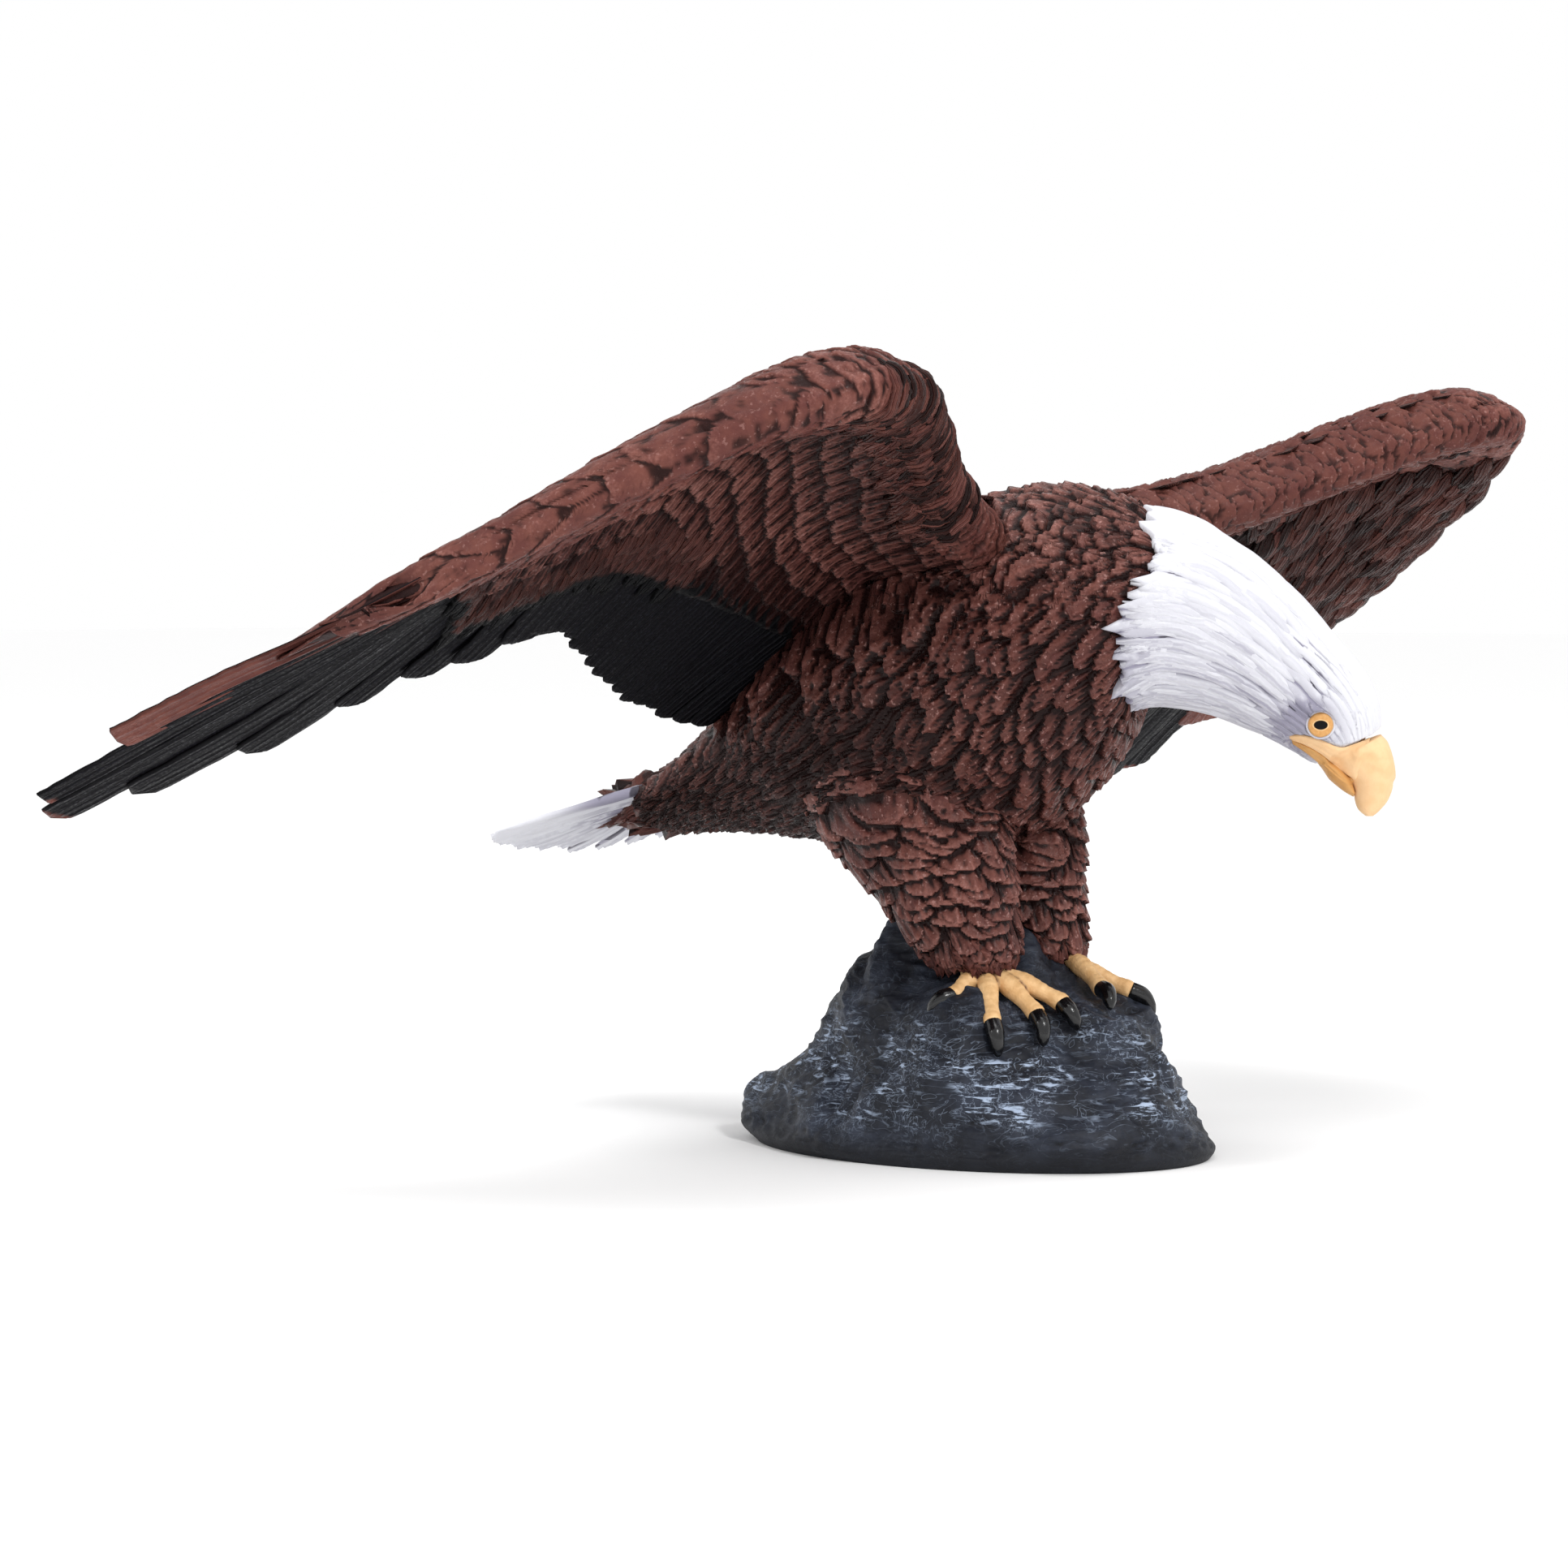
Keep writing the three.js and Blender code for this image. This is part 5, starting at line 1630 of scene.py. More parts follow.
def hoodLocks(ground):
    # smooth locks that flow over the neck to a ragged end over the brown
    draw = np.random.default_rng(81)
    ts, angles, widths = [], [], []
    for k in range(locks["rows"]):
        share = k / (locks["rows"] - 1)
        t = locks["firstRow"] + (locks["lastRow"] - locks["firstRow"]) * share**0.9
        spots = evenSpots(bodyPoint, t, -np.pi, np.pi, locks["pitch"], 0.25 + 0.5 * (k % 2))
        crown = np.cos(spots) > 0.62
        fit = ~crown | (np.arange(len(spots)) % 2 == 0)
        ts.append(np.full(fit.sum(), t))
        angles.append(spots[fit])
        widths.append(np.where(crown, 2.1, 1.0)[fit] * locks["pitch"])
    t, angle, width = (np.concatenate(each) for each in (ts, angles, widths))
    count = len(t)
    t = t + draw.uniform(-0.18, 0.18, count) * smooth(-t, -15.5, -12)
    angle = angle + draw.normal(0, 0.03, count)
    edge = level(hood["edge"], np.degrees(np.abs(angle))) + draw.uniform(-0.1, 0.2, count)
    stride = np.linalg.norm(bodyPoint(t - 0.5, angle) - bodyPoint(t + 0.5, angle), axis=-1)
    length = np.interp(t, [9.5, 11, 13, 14.5, 15.8], [10, 15, 12, 6.5, 3.5]) * draw.uniform(0.8, 1.25, count)
    end = np.maximum(t - length / np.maximum(stride, 2.5), edge)
    sideways = np.clip(np.sin(np.abs(angle)), 0, 1) * np.sign(angle)
    drift = -0.05 * sideways * (t - end) + draw.normal(0, 0.02, count)
    share = np.linspace(0, 1, locks["steps"])[None]
    sway = draw.normal(0, 0.045, count)[:, None] * np.sin(np.pi * share)
    path = bodyPoint(t[:, None] + (end - t)[:, None] * share, angle[:, None] + drift[:, None] * share + sway)
    spots, normals, height = ground.nearest(path)
    crown = smooth(np.cos(angle), 0.3, 0.8)[:, None]
    neck = smooth(-t, -14.8, -12)[:, None]
    ends = (end <= edge + 1e-6)[:, None]
    swell = (0.16 + 0.74 * neck) * (1 - 0.75 * crown) + 0.08
    rise = swell * (0.25 + 0.75 * np.sin(np.pi * share**0.75)) + 0.25 * ends * smooth(share, 0.6, 0.95)
    blunt = np.interp(share, [0, 0.25, 0.8, 0.93, 1], [0.6, 1.0, 1.0, 0.8, 0.35])
    sharp = np.interp(share, [0, 0.25, 0.6, 0.85, 1], [0.55, 1.0, 0.95, 0.6, 0.1])
    taper = np.where((draw.uniform(size=count) < 0.65)[:, None] | (crown > 0.5), blunt, sharp)
    halfWidths = width[:, None] * 0.66 * taper
    centres = spots + normals * (0.05 + share * (0.2 + 0.45 * ends))[..., None]
    # painted shade on the locks: lilac grey under the neck and behind the eye under the brow, less on the crown
    under = smooth(-np.cos(angle), -0.45, 0.6)
    behindEye = smooth(t, 12.4, 14.0) * smooth(np.abs(angle), 1.15, 1.6) * (1 - smooth(t, 14.4, 15.2))
    wash = np.clip(under * 0.6 + behindEye * 0.9 + draw.uniform(-0.15, 0.25, count), 0, 1)
    wash = wash * (1 - 0.8 * crown[:, 0])
    root = np.stack([0.05 + 0.9 * (angle / (2 * np.pi) + 0.5), 0.05 + 0.9 * (t - 8) / 8.5], -1)
    along, high, aside = headPlace(path)
    face = yellowShare(along[:, 0], high[:, 0]) * (np.abs(aside[:, 0]) > 0.8)
    nearEye = np.hypot(along - eye["along"], high - eye["height"]).min(1) < eye["radius"] + 0.35
    keep = (np.abs(height).max(1) < 2.6) & (face < 0.5) & ~(nearEye & (np.abs(aside[:, 0]) > 2))
    keep &= (t < 12.8) & (crown[:, 0] < 0.6)
    values = {"wash": wash[keep], "shade": draw.uniform(0.0, 0.36, keep.sum())}
    strands = (centres[keep], normals[keep], halfWidths[keep], rise[keep])
    return strandMesh("hood", *strands, locks["columns"], 0.5, root[keep], values)


# Bill, gape and cere

bill = {
    "rows": [
        headRow(28.35, 51.4, 21.9, 48.3, 3.9), headRow(29.2, 49.4, 23.3, 46.9, 3.5),
        headRow(29.7, 47.3, 24.5, 45.7, 2.9), headRow(29.7, 45.5, 25, 44.6, 2.3),
        headRow(29.1, 43.6, 25.1, 43.5, 1.7), headRow(28.1, 42.3, 25.5, 42.4, 1.2),
        headRow(27.3, 41.6, 26.4, 41.6, 0.6),
    ],
    "chin": [
        headRow(22, 48.9, 20.7, 47.2, 3.1), headRow(23.4, 47.6, 22.1, 45.9, 2.7),
        headRow(24.6, 46, 23.7, 44.6, 2), headRow(25.1, 44.6, 24.9, 43.9, 1),
    ],
    "nostril": (26.2, 48.7),  # this and the lines are distances along the head and heights
    "cereEdge": (27.6, 47.2),
    "upperLine": [(16.6, 51.2), (18.2, 51.4), (20.3, 50.95), (22.9, 49.95), (24.6, 50.3), (26.6, 51.0)],
    "lowerLine": [(17.4, 50.7), (19.4, 49.9), (21.2, 48.8), (22.6, 47.6), (23.8, 46.7), (25.0, 46.0)],
    "jawLine": [(17.6, 50.2), (19.2, 49.1), (20.7, 47.9), (22.0, 46.7), (23.2, 45.7), (24.4, 45.0)],
    "lift": 0.3,
}


def headPlace(points):
    # distance along the head's line, height, and distance out from its middle plane
    turn = math.radians(neckTurn)
    away = np.asarray(points, float) - [*neckRoot, 0]
    along = away[..., 0] * math.sin(turn) - away[..., 1] * math.cos(turn)
    out = away[..., 0] * math.cos(turn) + away[..., 1] * math.sin(turn)
    return along, away[..., 2], out


def loft(rows, rings, around):
    # a tube through rows of top point, bottom point and half width
    t = np.linspace(0, len(rows) - 1, rings)[:, None]
    angle = (np.arange(around) * 2 * np.pi / around)[None]
    row = curveAt(rows, t)
    up = (row[..., :3] - row[..., 3:6]) / 2
    turn = math.radians(neckTurn)
    out = np.array([math.cos(turn), math.sin(turn), 0]) * row[..., 6:7]
    return (row[..., :3] + row[..., 3:6]) / 2 + up * np.cos(angle)[..., None] + out * np.sin(angle)[..., None]


def billMesh():
    rings, around = 60, 48
    points = loft(bill["rows"], rings, around)
    centre = points.mean(1, keepdims=True)
    out = unit(points - centre)
    along, height, aside = headPlace(points)
    nostril = np.hypot((along - bill["nostril"][0]) / 0.75, (height - bill["nostril"][1]) / 0.4)
    ledge = 0.2 * np.exp(-((nostril - 1.6) ** 2) * 2.2) * (height > bill["nostril"][1] - 0.2)
    dent = ledge - 0.32 * np.exp(-(nostril**2))
    line = (along - bill["cereEdge"][0]) * 0.5 + (height - bill["cereEdge"][1]) * 0.86
    cere = 0.16 * smooth(line, -0.35, 0.25) - 0.08 * np.exp(-((line + 0.35) ** 2) * 9)
    root = -0.35 * (1 - smooth(np.arange(rings) / rings, 0.0, 0.1))[:, None]
    points = points + out * (dent + cere + root)[..., None]
    return turnOut(makeMesh("bill_upper_horn", points, tubeFaces(rings, around)))


def yellowShare(along, height):
    # 1 where the side of the face is yellow
    upper = level(bill["upperLine"], along) + 0.2
    lower = level(bill["lowerLine"], along) - 0.4
    return ((height < upper) & (height > lower) & (along > bill["upperLine"][0][0] + 0.5)).astype(float)


def gapeMesh(grounds, side, upperLine, lowerLine, lift, reachOut):
    # skin from the bill back along the mouth, laid over the face and the bill's root
    steps, columns = 60, 18
    turn = math.radians(neckTurn)
    inward = -side * np.array([math.cos(turn), math.sin(turn), 0])
    places = np.linspace(0, len(upperLine) - 1, steps)
    tops, bottoms = curveAt(upperLine, places), curveAt(lowerLine, places)
    share = np.linspace(0, 1, columns)[None, :, None]
    spot = tops[:, None] * (1 - share) + bottoms[:, None] * share
    reach = np.zeros((steps, columns))
    for i, j in np.ndindex(steps, columns):
        start = np.array(onHead(*spot[i, j], side * 16))
        found = [each.hit(start, inward) for each in grounds]
        reach[i, j] = max([headPlace(f[0])[2] * side for f in found if f is not None] + [1.2])
    reach = np.maximum(reach, blur(np.maximum(reach, blur(reach, 12)), 12))
    share = share[..., 0]
    inside = np.minimum(share, 1 - share) * 6
    ahead = (steps - 1 - np.arange(steps)[:, None]) / 7
    behind = np.arange(steps)[:, None] / 5
    rise = lift * np.minimum(np.minimum(inside, ahead), np.minimum(behind, 1.0)) - 0.08
    crease = -0.14 * np.exp(-(((share - 0.62) / 0.1) ** 2)) * (1 - smooth(spot[..., 0], 22.5, 24.5))
    lateral = side * (reach + rise + crease + reachOut)
    upper = np.array([[onHead(*spot[i, j], lateral[i, j]) for j in range(columns)] for i in range(steps)])
    lower = upper + inward * 0.9
    points = np.concatenate([upper.reshape(-1, 3), lower.reshape(-1, 3)])
    return turnOut(makeMesh("gape", points, slabFaces(steps, columns)))


def chinMesh():
    rings, around = 36, 32
    points = loft(bill["chin"], rings, around)
    root = -0.6 * (1 - smooth(np.arange(rings) / rings, 0.0, 0.35))[:, None, None]
    points = points + unit(points - points.mean(1, keepdims=True)) * root
    return turnOut(makeMesh("bill_lower_horn", points, tubeFaces(rings, around)))


# Eyes and brows

eye = {
    "along": 20.5,
    "height": 52.65,
    "radius": 1.5,
    "dome": 0.5,
    "pupil": (0.82, 0.55),
    "lid": 0.11,
}


def eyePlace(ground, side):
    # where the eye sits on the face, with the face's own way out, up and forward
    turn = math.radians(neckTurn)
    outward = side * np.array([math.cos(turn), math.sin(turn), 0])
    start = np.array(onHead(eye["along"], eye["height"], side * 16))
    spot, normal = ground.hit(start, -outward)
    out = unit(outward * 0.75 + normal * 0.25)
    forward = np.array([math.sin(turn), -math.cos(turn), 0])
    forward = unit(forward - out * (forward @ out))
    return spot, out, unit(np.cross(out, forward)), forward


def eyeMesh(ground, side):
    spot, out, up, forward = eyePlace(ground, side)
    rings, around = 26, 40
    angle = np.arange(around) * 2 * np.pi / around
    inner = np.linspace(0.02, 0.9, rings - 8)
    radii = np.concatenate([inner, [0.95, 0.985, 1.0, 1.0, 0.97, 0.85, 0.5, 0.05]])
    heights = np.sqrt(1 - (0.92 * inner) ** 2) * 0.85 + 0.12
    heights = np.concatenate([heights, [0.36, 0.22, 0.0, -0.6, -0.9, -1.1, -1.2, -1.2]])
    circle = np.cos(angle)[:, None] * forward + np.sin(angle)[:, None] * up
    points = spot + radii[:, None, None] * eye["radius"] * circle + (heights * eye["dome"])[:, None, None] * out
    across = radii[:, None] * np.cos(angle) * eye["radius"]
    rise = radii[:, None] * np.sin(angle) * eye["radius"]
    values = {"across": across, "rise": rise}
    return turnOut(makeMesh("eye", points, tubeFaces(rings, around), None, values))


def eyePaint():
    paint = Finish("eye_paint", roughness=0.4, coat=0.0, specular=0.12)
    across, rise = paint.attribute("across"), paint.attribute("rise")
    a, b = eye["pupil"]
    far = ((across / a) ** 2 + (rise / b) ** 2) ** 0.5
    rim = (across ** 2 + rise ** 2) ** 0.5
    grain = paint.speckle(0.5)
    iris = paint.mix(grain.step(0.35, 0.7), srgb(200, 148, 90), srgb(214, 164, 106))
    iris = paint.mix(rim.step(1.35, 1.6), iris, srgb(216, 176, 122))
    ring = paint.mix(far.step(1.0, 1.06) * (1 - far.step(1.14, 1.24)) * 0.7, iris, srgb(226, 196, 150))
    paint.shine("Base Color", paint.mix(far.step(0.94, 1.04), srgb(9, 8, 9), ring))
    paint.bump(grain, 0.03)
    return paint.material


def lidsMesh(ground):
    # a soft ring round each eye, thicker under the brow
    around, tube = 48, 10
    points, faces = [], []
    for side in (1, -1):
        spot, out, up, forward = eyePlace(ground, side)
        first = len(points)
        for a in np.linspace(0, 2 * np.pi, around, endpoint=False):
            away = math.cos(a) * forward + math.sin(a) * up
            middle = spot + away * (eye["radius"] + 0.12) + out * 0.02
            thick = eye["lid"] * (1 + 0.5 * max(math.sin(a), 0))
            for b in np.arange(tube) * 2 * np.pi / tube:
                points.append(middle + (away * math.cos(b) * 1.3 + out * math.sin(b)) * thick)
        for k in range(around):
            for j in range(tube):
                a, b = first + k * tube, first + (k + 1) % around * tube
                faces.append((a + j, b + j, b + (j + 1) % tube, a + (j + 1) % tube))
    count = len(points)
    values = {"wash": np.full(count, 0.75), "shade": np.full(count, 0.12)}
    return turnOut(makeMesh("lids", points, faces, {"Vane": np.full((count, 2), 0.5)}, values))


# Feet and claws

hipHalf = 7
ankle = (-4.6, 24.4)
toes = {  # end of the toe and tip of its claw, as x away from the middle plane and y
    "outer": {"left": ((13.4, -10.5), (15.4, -12.3)), "right": ((12.9, -11.7), (13.7, -13.2))},
    "middle": {"left": ((10.6, -14.8), (13, -16.6)), "right": ((7.5, -14.1), (8.7, -16.1))},
    "inner": {"left": ((3.7, -15.6), (1.8, -18.4)), "right": ((3.6, -15.4), (3.6, -17.6))},
    "hind": {"left": ((12.9, -6), (15.8, -4.2)), "right": ((13, -6.1), (15.2, -4))},
}
foot = {
    "lift": 0.95, "radius": 1.02, "scute": 0.14, "scuteStep": 0.8, "voxel": 0.19, "soften": 0.5, "rounds": 4,
}
claw = {"radius": 1.12, "arch": 0.75}

rock = {
    "rings": [  # height, centre x and y, half width and length, ridge between the feet, hollow
        [0, 0, 0, 21.9, 30.8, 0, 0], [1.6, 0, 0, 23, 31.9, 0, 0], [4.5, 0.2, -0.2, 22.9, 31, 0, 0],
        [9, 0.3, -0.3, 20.4, 27.4, 0, 0.6], [13, 0.6, -0.6, 18.6, 23.6, 0, 2.6],
        [16.5, 1, 0.2, 17.2, 21.2, 0, 1.8], [19, 0.8, 1.7, 15.2, 17.6, 0, 0.4],
        [21, 0.2, 3.8, 12.4, 13.8, 2, 0], [24, 0, 5.2, 9.4, 10.2, 4, 0], [28, 0.2, 4.9, 7.3, 7.4, 2.8, 0],
        [32, 0.6, 4.4, 6, 6.6, 1.5, 0], [35.5, 1, 4, 4.6, 5.4, 0.3, 0],
    ],
    "ridge": (math.radians(-80), 0.4),  # which way each faces, and how wide it is as an angle
    "hollow": (math.radians(-112), 0.55),
    "around": 400,
    "levels": 190,
}


def rockRadius(row, angle):
    height = row[..., 0]
    ellipse = 1 / np.hypot(np.cos(angle) / row[..., 3], np.sin(angle) / row[..., 4])
    size = np.minimum(height / 6, 1)
    lumps = 1 + size * (
        0.035 * np.sin(3 * angle + 0.9 + 0.21 * height)
        + 0.03 * np.sin(5 * angle - 0.27 * height)
        + 0.018 * np.sin(9 * angle + 0.6 * height)
    )
    radius = ellipse * lumps
    for column, (middle, width), sign in ((5, rock["ridge"], 1), (6, rock["hollow"], -1)):
        turn = np.arctan2(np.sin(angle - middle), np.cos(angle - middle))
        radius = radius + sign * row[..., column] * np.exp(-((turn / width) ** 2))
    return radius


def rockPoint(t, angle):
    t, angle = np.broadcast_arrays(np.asarray(t, float), np.asarray(angle, float))
    row = curveAt(rock["rings"], t)
    radius = rockRadius(row, angle)
    x, y = row[..., 1] + radius * np.cos(angle), row[..., 2] + radius * np.sin(angle)
    return np.stack([x, y, row[..., 0]], -1)


def rockHeight(x, y):
    t = np.arange(len(rock["rings"]) - 1, 0, -0.02)
    row = curveAt(rock["rings"], t)
    reach = np.hypot(x - row[:, 1], y - row[:, 2])
    inside = reach <= rockRadius(row, np.arctan2(y - row[:, 2], x - row[:, 1]))
    return row[np.argmax(inside), 0] if inside.any() else 0.0


def outOfRock(x, y, step=0.8):
    slopeX = (rockHeight(x + step, y) - rockHeight(x - step, y)) / (2 * step)
    slopeY = (rockHeight(x, y + step) - rockHeight(x, y - step)) / (2 * step)
    return unit(np.array([-slopeX, -slopeY, 1]))


def overRock(side, spot, lift):
    x, y = side * spot[0], spot[1]
    return np.array([x, y, rockHeight(x, y)]) + outOfRock(x, y) * lift


def rockMesh():
    # the rock's own lumps, then facets, ledges and dents like a moulded stone
    around, levels = rock["around"], rock["levels"]
    angle = (np.arange(around) * 2 * np.pi / around)[None]
    skirt, sides = np.linspace(0, 1, 16)[:-1], np.linspace(1, len(rock["rings"]) - 1, levels - 15)
    t = np.concatenate([skirt, sides])[:, None]
    points = rockPoint(t, angle)
    step = 0.01
    lengthways = rockPoint(t + step, angle) - rockPoint(t - step, angle)
    sideways = rockPoint(t, angle + step) - rockPoint(t, angle - step)
    out = unit(np.cross(sideways, lengthways)).reshape(-1, 3)
    fade = smooth(points[..., 2], 0.2, 3.0).ravel()
    moved = points.reshape(-1, 3).copy()
    high = np.zeros(len(moved))
    for k, p in enumerate(points.reshape(-1, 3).tolist()):
        warp = noise.noise(Vector(p) / 9.0) * 3.0
        cells = noise.voronoi(Vector((p[0] + warp, p[1] - warp, p[2] * 0.8)) / 11.0)[0]
        big = noise.noise(Vector((p[0], p[1], p[2] * 0.7)) / 15.0 + Vector((4, 2, 7)))
        facet = max(min(cells[1] - cells[0], 0.5) * 3.2 - 1.0 + 2.4 * big, -0.9)
        ledge = 1 - abs(noise.noise(Vector((p[0] + warp, p[1], p[2] * 2.6)) / 4.0)) * 2.2
        small = noise.noise(Vector((p[0], p[1], p[2] * 2.2)) / 1.3)
        tiny = noise.noise(Vector((p[0], p[1], p[2] * 1.8)) / 0.6)
        high[k] = 0.45 + ledge * 0.25 + small * 0.4 + tiny * 0.2 + facet * 0.08
        moved[k] += out[k] * (facet + ledge * 0.34 + small * 0.13 + tiny * 0.05 - 0.15) * fade[k]
    return turnOut(makeMesh("rock", moved, tubeFaces(len(t), around), None, {"high": high}))


stone = {
    "crease": srgb(20, 21, 26),
    "dark": srgb(26, 28, 35),
    "light": srgb(50, 55, 67),
    "brushed": srgb(168, 183, 206),
}


def rockPaint():
    # slate with pale strokes dragged over the high places, darker round the foot
    paint = Finish("rock_paint", roughness=0.62, specular=0.2)
    grain = paint.speckle(6.0, 5.0, 0.62)
    fine = paint.speckle(0.5, 4.0)
    height = paint.node("ShaderNodeSeparateXYZ", None, {0: paint.place}, 2)

    def strokes(stretch, scale, detail, distortion):
        inputs = {0: paint.place, 1: (1.0, 1.0, stretch)}
        long = paint.node("ShaderNodeVectorMath", {"operation": "MULTIPLY"}, inputs)
        grain = {"Vector": long, "Scale": scale, "Detail": detail, "Roughness": 0.6, "Distortion": distortion}
        return paint.node("ShaderNodeTexNoise", None, grain)

    high = paint.attribute("high")
    bed = paint.mix(grain.step(0.35, 0.7), stone["dark"], stone["light"])
    middle = height.step(0.003, 0.007) * (1 - height.step(0.013, 0.021))
    loaded = paint.speckle(11.0, 3.0).step(0.45, 0.58)
    scratch = 1 - abs(strokes(2.2, 210.0, 2.0, 1.4) - 0.5).step(0.003, 0.014)
    net = 1 - abs(strokes(1.0, 330.0, 3.0, 2.2) - 0.5).step(0.003, 0.018)
    streaks = strokes(5.5, 300.0, 5.0, 0.9).step(0.54, 0.66)
    brushed = (scratch * 0.22 + net * 0.35 * loaded + streaks * middle * (0.12 + loaded * 1.2)).least(1.0)
    brushed = brushed * (high.step(0.1, 0.55) * 0.6 + 0.4)
    colour = paint.mix(high.step(0.05, 0.4), stone["crease"], bed)
    colour = paint.mix(brushed * (0.3 + middle * 0.7), colour, stone["brushed"])
    rim = 1 - height.step(0.0012, 0.0042)
    paint.shine("Base Color", paint.mix(rim * 0.8, colour, stone["crease"]))
    paint.shine("Roughness", 0.64 - fine * 0.16)
    paint.bump(streaks * 0.4 + fine * 0.3 + grain, 0.12)
    return paint.material


def tubeAlong(points, radii, around, bumps=None):
    # rings across a smooth line; bumps adds to the radius at each ring on the upper half
    points = np.asarray(points, float)
    forward = unit(np.gradient(points, axis=0))
    up = np.array([0, 0, 1.0])
    rings = []
    for k, (p, f, radius) in enumerate(zip(points, forward, radii)):
        aside = unit(np.cross(f, up))
        high = np.cross(aside, f)
        for a in np.arange(around) * 2 * np.pi / around:
            extra = 0 if bumps is None else bumps[k] * max(math.sin(a), 0) ** 0.5
            rings.append(p + (aside * math.cos(a) + high * math.sin(a)) * (radius + extra))
    return np.array(rings), tubeFaces(len(points), around)


def toeLine(side, name, steps):
    end = toes[name]["left" if side > 0 else "right"][0]
    pad = (hipHalf, ankle[0] - 1.2)
    knuckle = ((pad[0] + end[0]) / 2, (pad[1] + end[1]) / 2)
    lifts = (1.3, foot["lift"] + 0.15, foot["lift"])
    stops = [overRock(side, spot, lift) for spot, lift in zip((pad, knuckle, end), lifts)]
    return curveAt(stops, np.linspace(0, 2, steps))


def footMesh(side):
    parts = []
    steps = 44
    for name in toes:
        line = toeLine(side, name, steps)
        length = np.linalg.norm(np.diff(line, axis=0), axis=1).sum()
        share = np.linspace(0, 1, steps)
        thick = np.interp(share, [0, 0.3, 0.5, 0.75, 0.92, 1], [1.75, 1.0, 1.25, 0.92, 1.12, 0.95])
        radii = foot["radius"] * thick
        bumps = foot["scute"] * np.abs(np.sin(np.pi * share * length / foot["scuteStep"])) ** 0.6
        parts.append(tubeAlong(line, radii, 20, bumps))
    sole = overRock(side, (hipHalf, ankle[0] - 1), 0.4)
    top = np.array([side * hipHalf, ankle[0], ankle[1] + 1])
    line = top + (sole - top) * np.linspace(0, 1, 20)[:, None]
    aside = np.array([0.001, 0.001, 0]) * np.arange(20)[:, None]
    parts.append(tubeAlong(line + aside, np.linspace(2.3, 2.5, 20), 24))
    mesh = fuse("foot_draft", parts, foot["voxel"], foot["soften"], foot["rounds"])
    hollow = hollows(mesh, 10).astype(np.float32)
    mesh.attributes.new("hollow", "FLOAT", "POINT").data.foreach_set("value", hollow)
    return mesh


def hollows(mesh, rounds):
    # above 0 where the surface is a groove and below 0 on its ridges, by rounds of averaging
    spots = np.array([v.co for v in mesh.vertices]) / mm
    normals = np.array([v.normal for v in mesh.vertices])
    ends = np.empty(len(mesh.edges) * 2, int)
    mesh.edges.foreach_get("vertices", ends)
    a, b = ends.reshape(-1, 2).T
    count = np.bincount(a, minlength=len(spots)) + np.bincount(b, minlength=len(spots))
    moved = spots.copy()
    for _ in range(rounds):
        total = np.zeros_like(moved)
        np.add.at(total, a, moved[b])
        np.add.at(total, b, moved[a])
        moved = total / count[:, None]
    return ((moved - spots) * normals).sum(-1) * 8


def clawMesh(side, name):
    end, tip = toes[name]["left" if side > 0 else "right"]
    line = toeLine(side, name, 20)
    onward = unit(line[-1] - line[-3])
    start = line[-1] - onward * 0.5
    last = overRock(side, tip, 0.35)
    middle = (start + last) / 2
    middle = middle + outOfRock(middle[0], middle[1]) * claw["arch"]
    stops = np.array([start, middle, last])
    steps = 30
    share = np.linspace(0, 1, steps)
    path = curveAt(stops, share * 2)
    radii = claw["radius"] * np.interp(share, [0, 0.08, 0.4, 0.75, 0.95, 1], [0.6, 0.98, 1.0, 0.72, 0.3, 0.08])
    spots, faces = tubeAlong(path, radii, 20)
    return turnOut(makeMesh(name, spots, faces))


def hornPaint(name, low, high, dark, gloss, roughness):
    # smooth toy paint with a faint grain and a few dark specks; the colours are sRGB
    paint = Finish(name, roughness=roughness, coat=gloss, specular=0.3)
    grain = paint.speckle(2.5)
    fine = paint.speckle(0.25, 3.0)
    colour = paint.mix(grain.step(0.3, 0.7), srgb(*low), srgb(*high))
    paint.shine("Base Color", paint.mix(fine.step(0.62, 0.8) * 0.25, colour, srgb(*dark)))
    paint.shine("Roughness", roughness + fine * 0.12)
    paint.bump(fine * 0.5 + grain, 0.05)
    return paint.material


def footPaint():
    paint = Finish("foot_paint", roughness=0.5)
    grain = paint.speckle(1.4)
    fine = paint.speckle(0.3, 3.0)
    colour = paint.mix(grain.step(0.3, 0.7), srgb(218, 172, 116), srgb(236, 194, 140))
    hollow = paint.attribute("hollow")
    paint.shine("Base Color", paint.mix((hollow + grain * 0.5).step(0.25, 1.2), colour, srgb(96, 60, 32)))
    paint.shine("Roughness", 0.45 + fine * 0.2)
    paint.bump(fine + grain * 0.5, 0.08)
    return paint.material


addStudio()
addCamera()
print("studio ready", flush=True)
ground = makeSkin()
vanes = vaneCollections()
coatNodes = coatTree()
brownPaint = plumagePaint("brown_feathers", brown["barbs"], brown["barbDepth"], 0.13)
mouldPaint = plumagePaint("moulded_feathers", 20, 0.12, 0.08, 0.22)
glossPaint = plumagePaint("moulded_breast", 16, 0.2, 0.12, 0.45, 0.4)
flightPaint = plumagePaint("flight_paint", 60, 0.12, 0.05)
hoodPaint = whitePaint("hood_paint", 0.08)

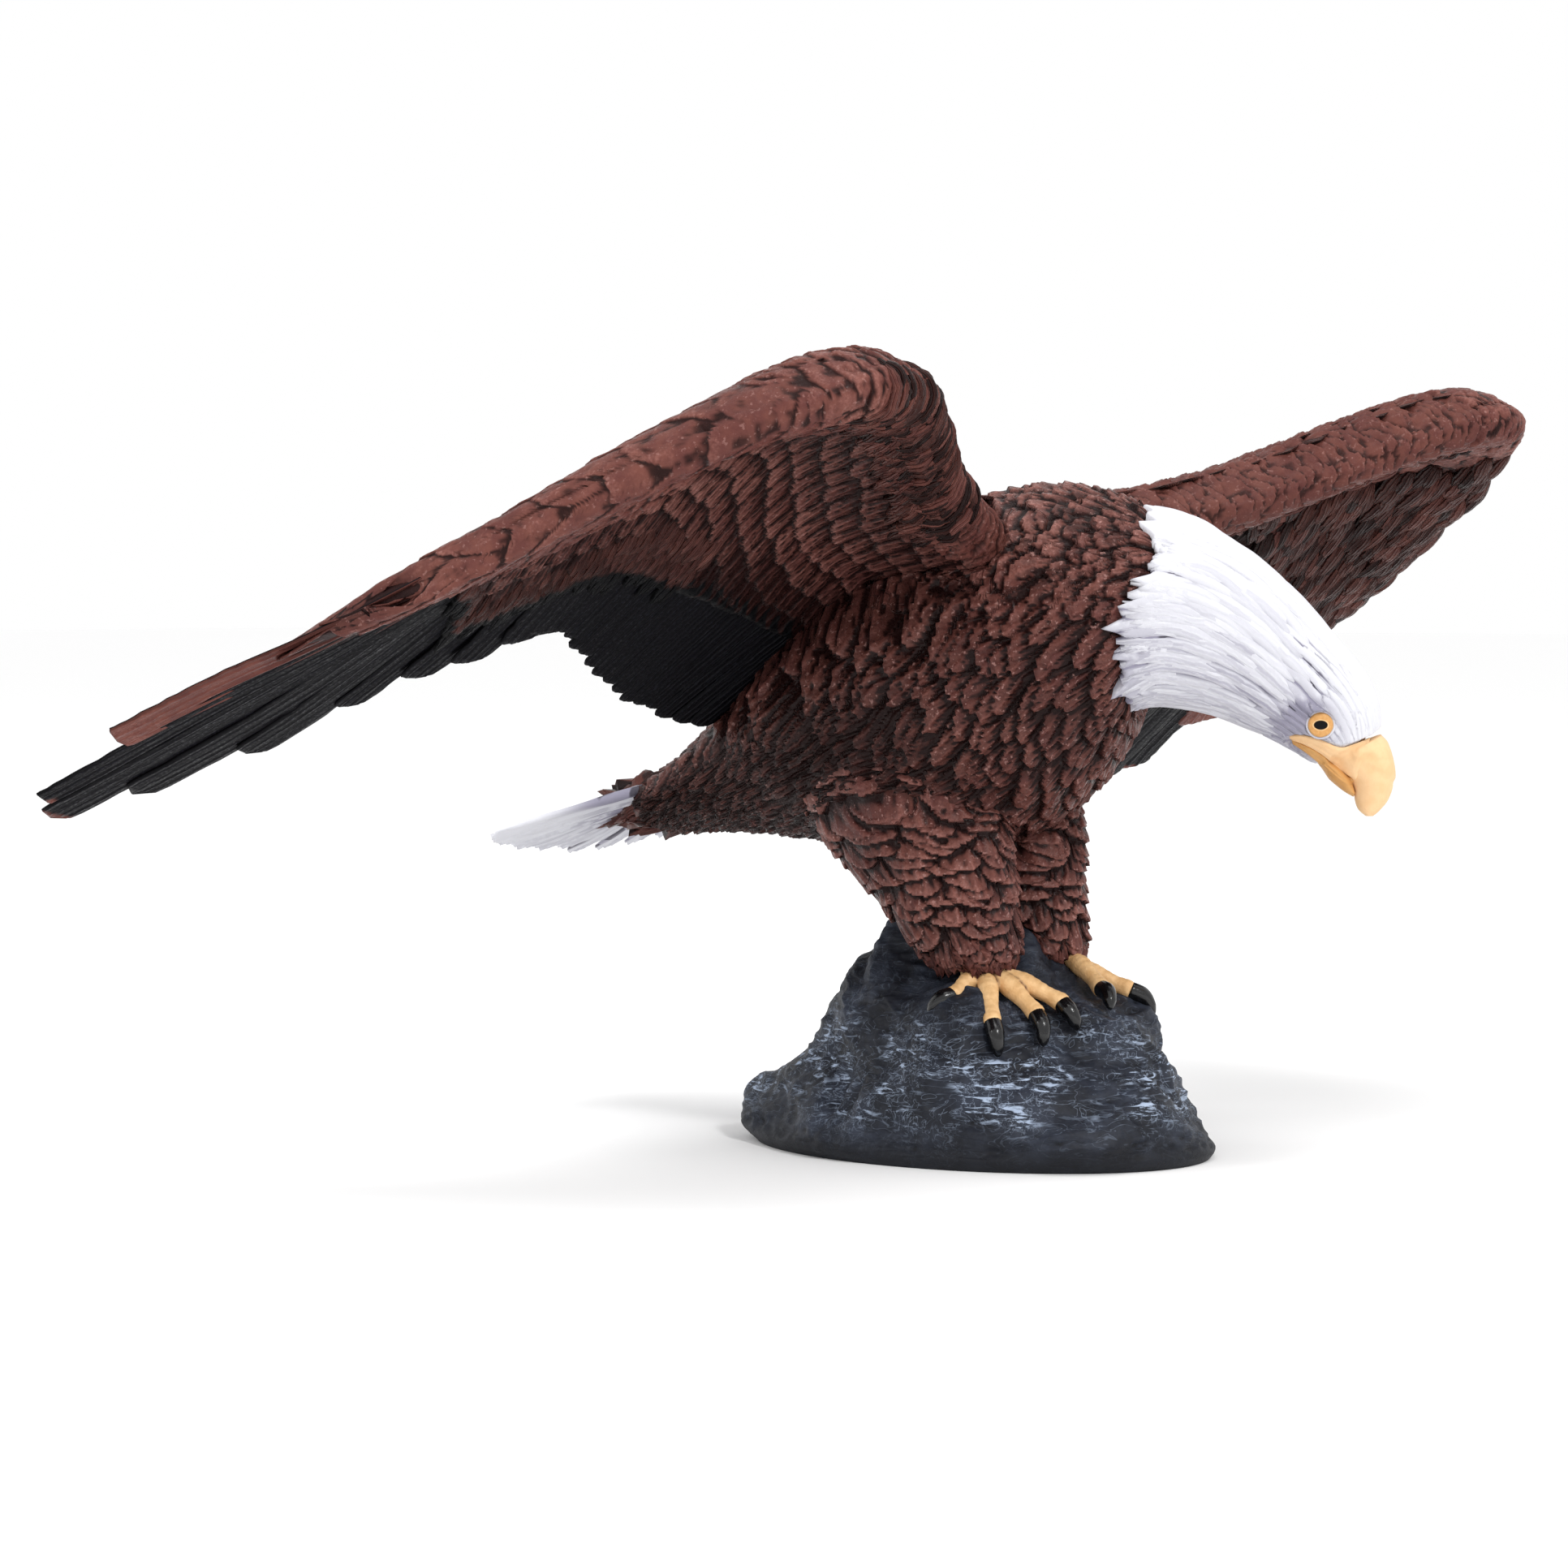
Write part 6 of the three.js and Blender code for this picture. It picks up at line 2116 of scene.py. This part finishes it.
addPiece("coat_breast", breastMould(ground), glossPaint, "brown_plumage")
rear = trunkCoat(ground)
layCoat("coat_rear", rear, vanes["pointed"], brownPaint, "brown_plumage", coat["relief"] * 1.1, 0.6, 2)
sides = ((1, "left"), (-1, "right"))
for side, name in sides:
    slot = "brown_plumage"
    addPiece(f"coat_thigh_{name}", thighMould(ground, side), glossPaint, slot)
    hem = thighCoat(ground, side)
    layCoat(f"coat_hem_{name}", hem, vanes["scallop"], brownPaint, slot, 0.62, 0.4, 5 + side)
    addPiece(f"coat_under_{name}", underCoverts(side), mouldPaint, slot)
    addPiece(f"coat_band_{name}", bandCoat(side), mouldPaint, slot)
    addPiece(f"coat_arm_{name}", armCoat(side), mouldPaint, slot)
    layCoat(f"coat_upper_{name}", upperCoverts(side), vanes["barbed"], brownPaint, slot, 0.3, 0.06, 14 + side)
    addPiece(f"coat_hair_{name}", wingHair(side), brownPaint, slot)
    flown = (f"wing_secondaries_{name}", f"wing_primaries_{name}")
    addPiece(f"flight_{name}", flightFeathers(side), flightPaint, "flight_feathers", *flown)
addPiece("tail_fan", tailMesh(), hoodPaint, "white_plumage", "tail")
addPiece("coat_hood", hoodMould(ground), hoodPaint, "white_plumage")
addPiece("coat_locks", hoodLocks(ground), hoodPaint, "white_plumage")
print("feathers laid", flush=True)

billPaint = hornPaint("bill_paint", (226, 184, 136), (235, 196, 150), (196, 146, 98), 0.0, 0.5)
lowerPaint = hornPaint("chin_paint", (196, 144, 84), (208, 158, 96), (130, 80, 42), 0.0, 0.5)
clawPaint = hornPaint("claw_paint", (6, 6, 7), (14, 14, 16), (26, 26, 30), 0.4, 0.14)
horn, jaw = billMesh(), chinMesh()
faces = (ground, Ground(horn), Ground(jaw))
addPiece("bill_horn", horn, billPaint, "bill", "bill_upper")
addPiece("bill_jaw", jaw, lowerPaint, "bill", "bill_lower")
addPiece("lids", lidsMesh(ground), hoodPaint, "white_plumage")
irisPaint = eyePaint()
feetPaint = footPaint()
for side, name in sides:
    mouth = gapeMesh(faces, side, bill["upperLine"], bill["lowerLine"], bill["lift"], 0.0)
    addPiece(f"gape_{name}", mouth, billPaint, "bill")
    strip = gapeMesh(faces, side, bill["lowerLine"], bill["jawLine"], bill["lift"], -0.06)
    addPiece(f"jaw_{name}", strip, lowerPaint, "bill")
    addPiece(f"eyeball_{name}", eyeMesh(ground, side), irisPaint, "eye", f"eye_{name}")
    addPiece(f"toes_{name}", footMesh(side), feetPaint, "foot", f"foot_{name}")
    for toe in toes:
        addPiece(f"talon_{toe}_{name}", clawMesh(side, toe), clawPaint, "claw", f"claw_{toe}_{name}")
addPiece("rock", rockMesh(), rockPaint(), "rock", "rock_base")
print("face, feet and rock made", flush=True)
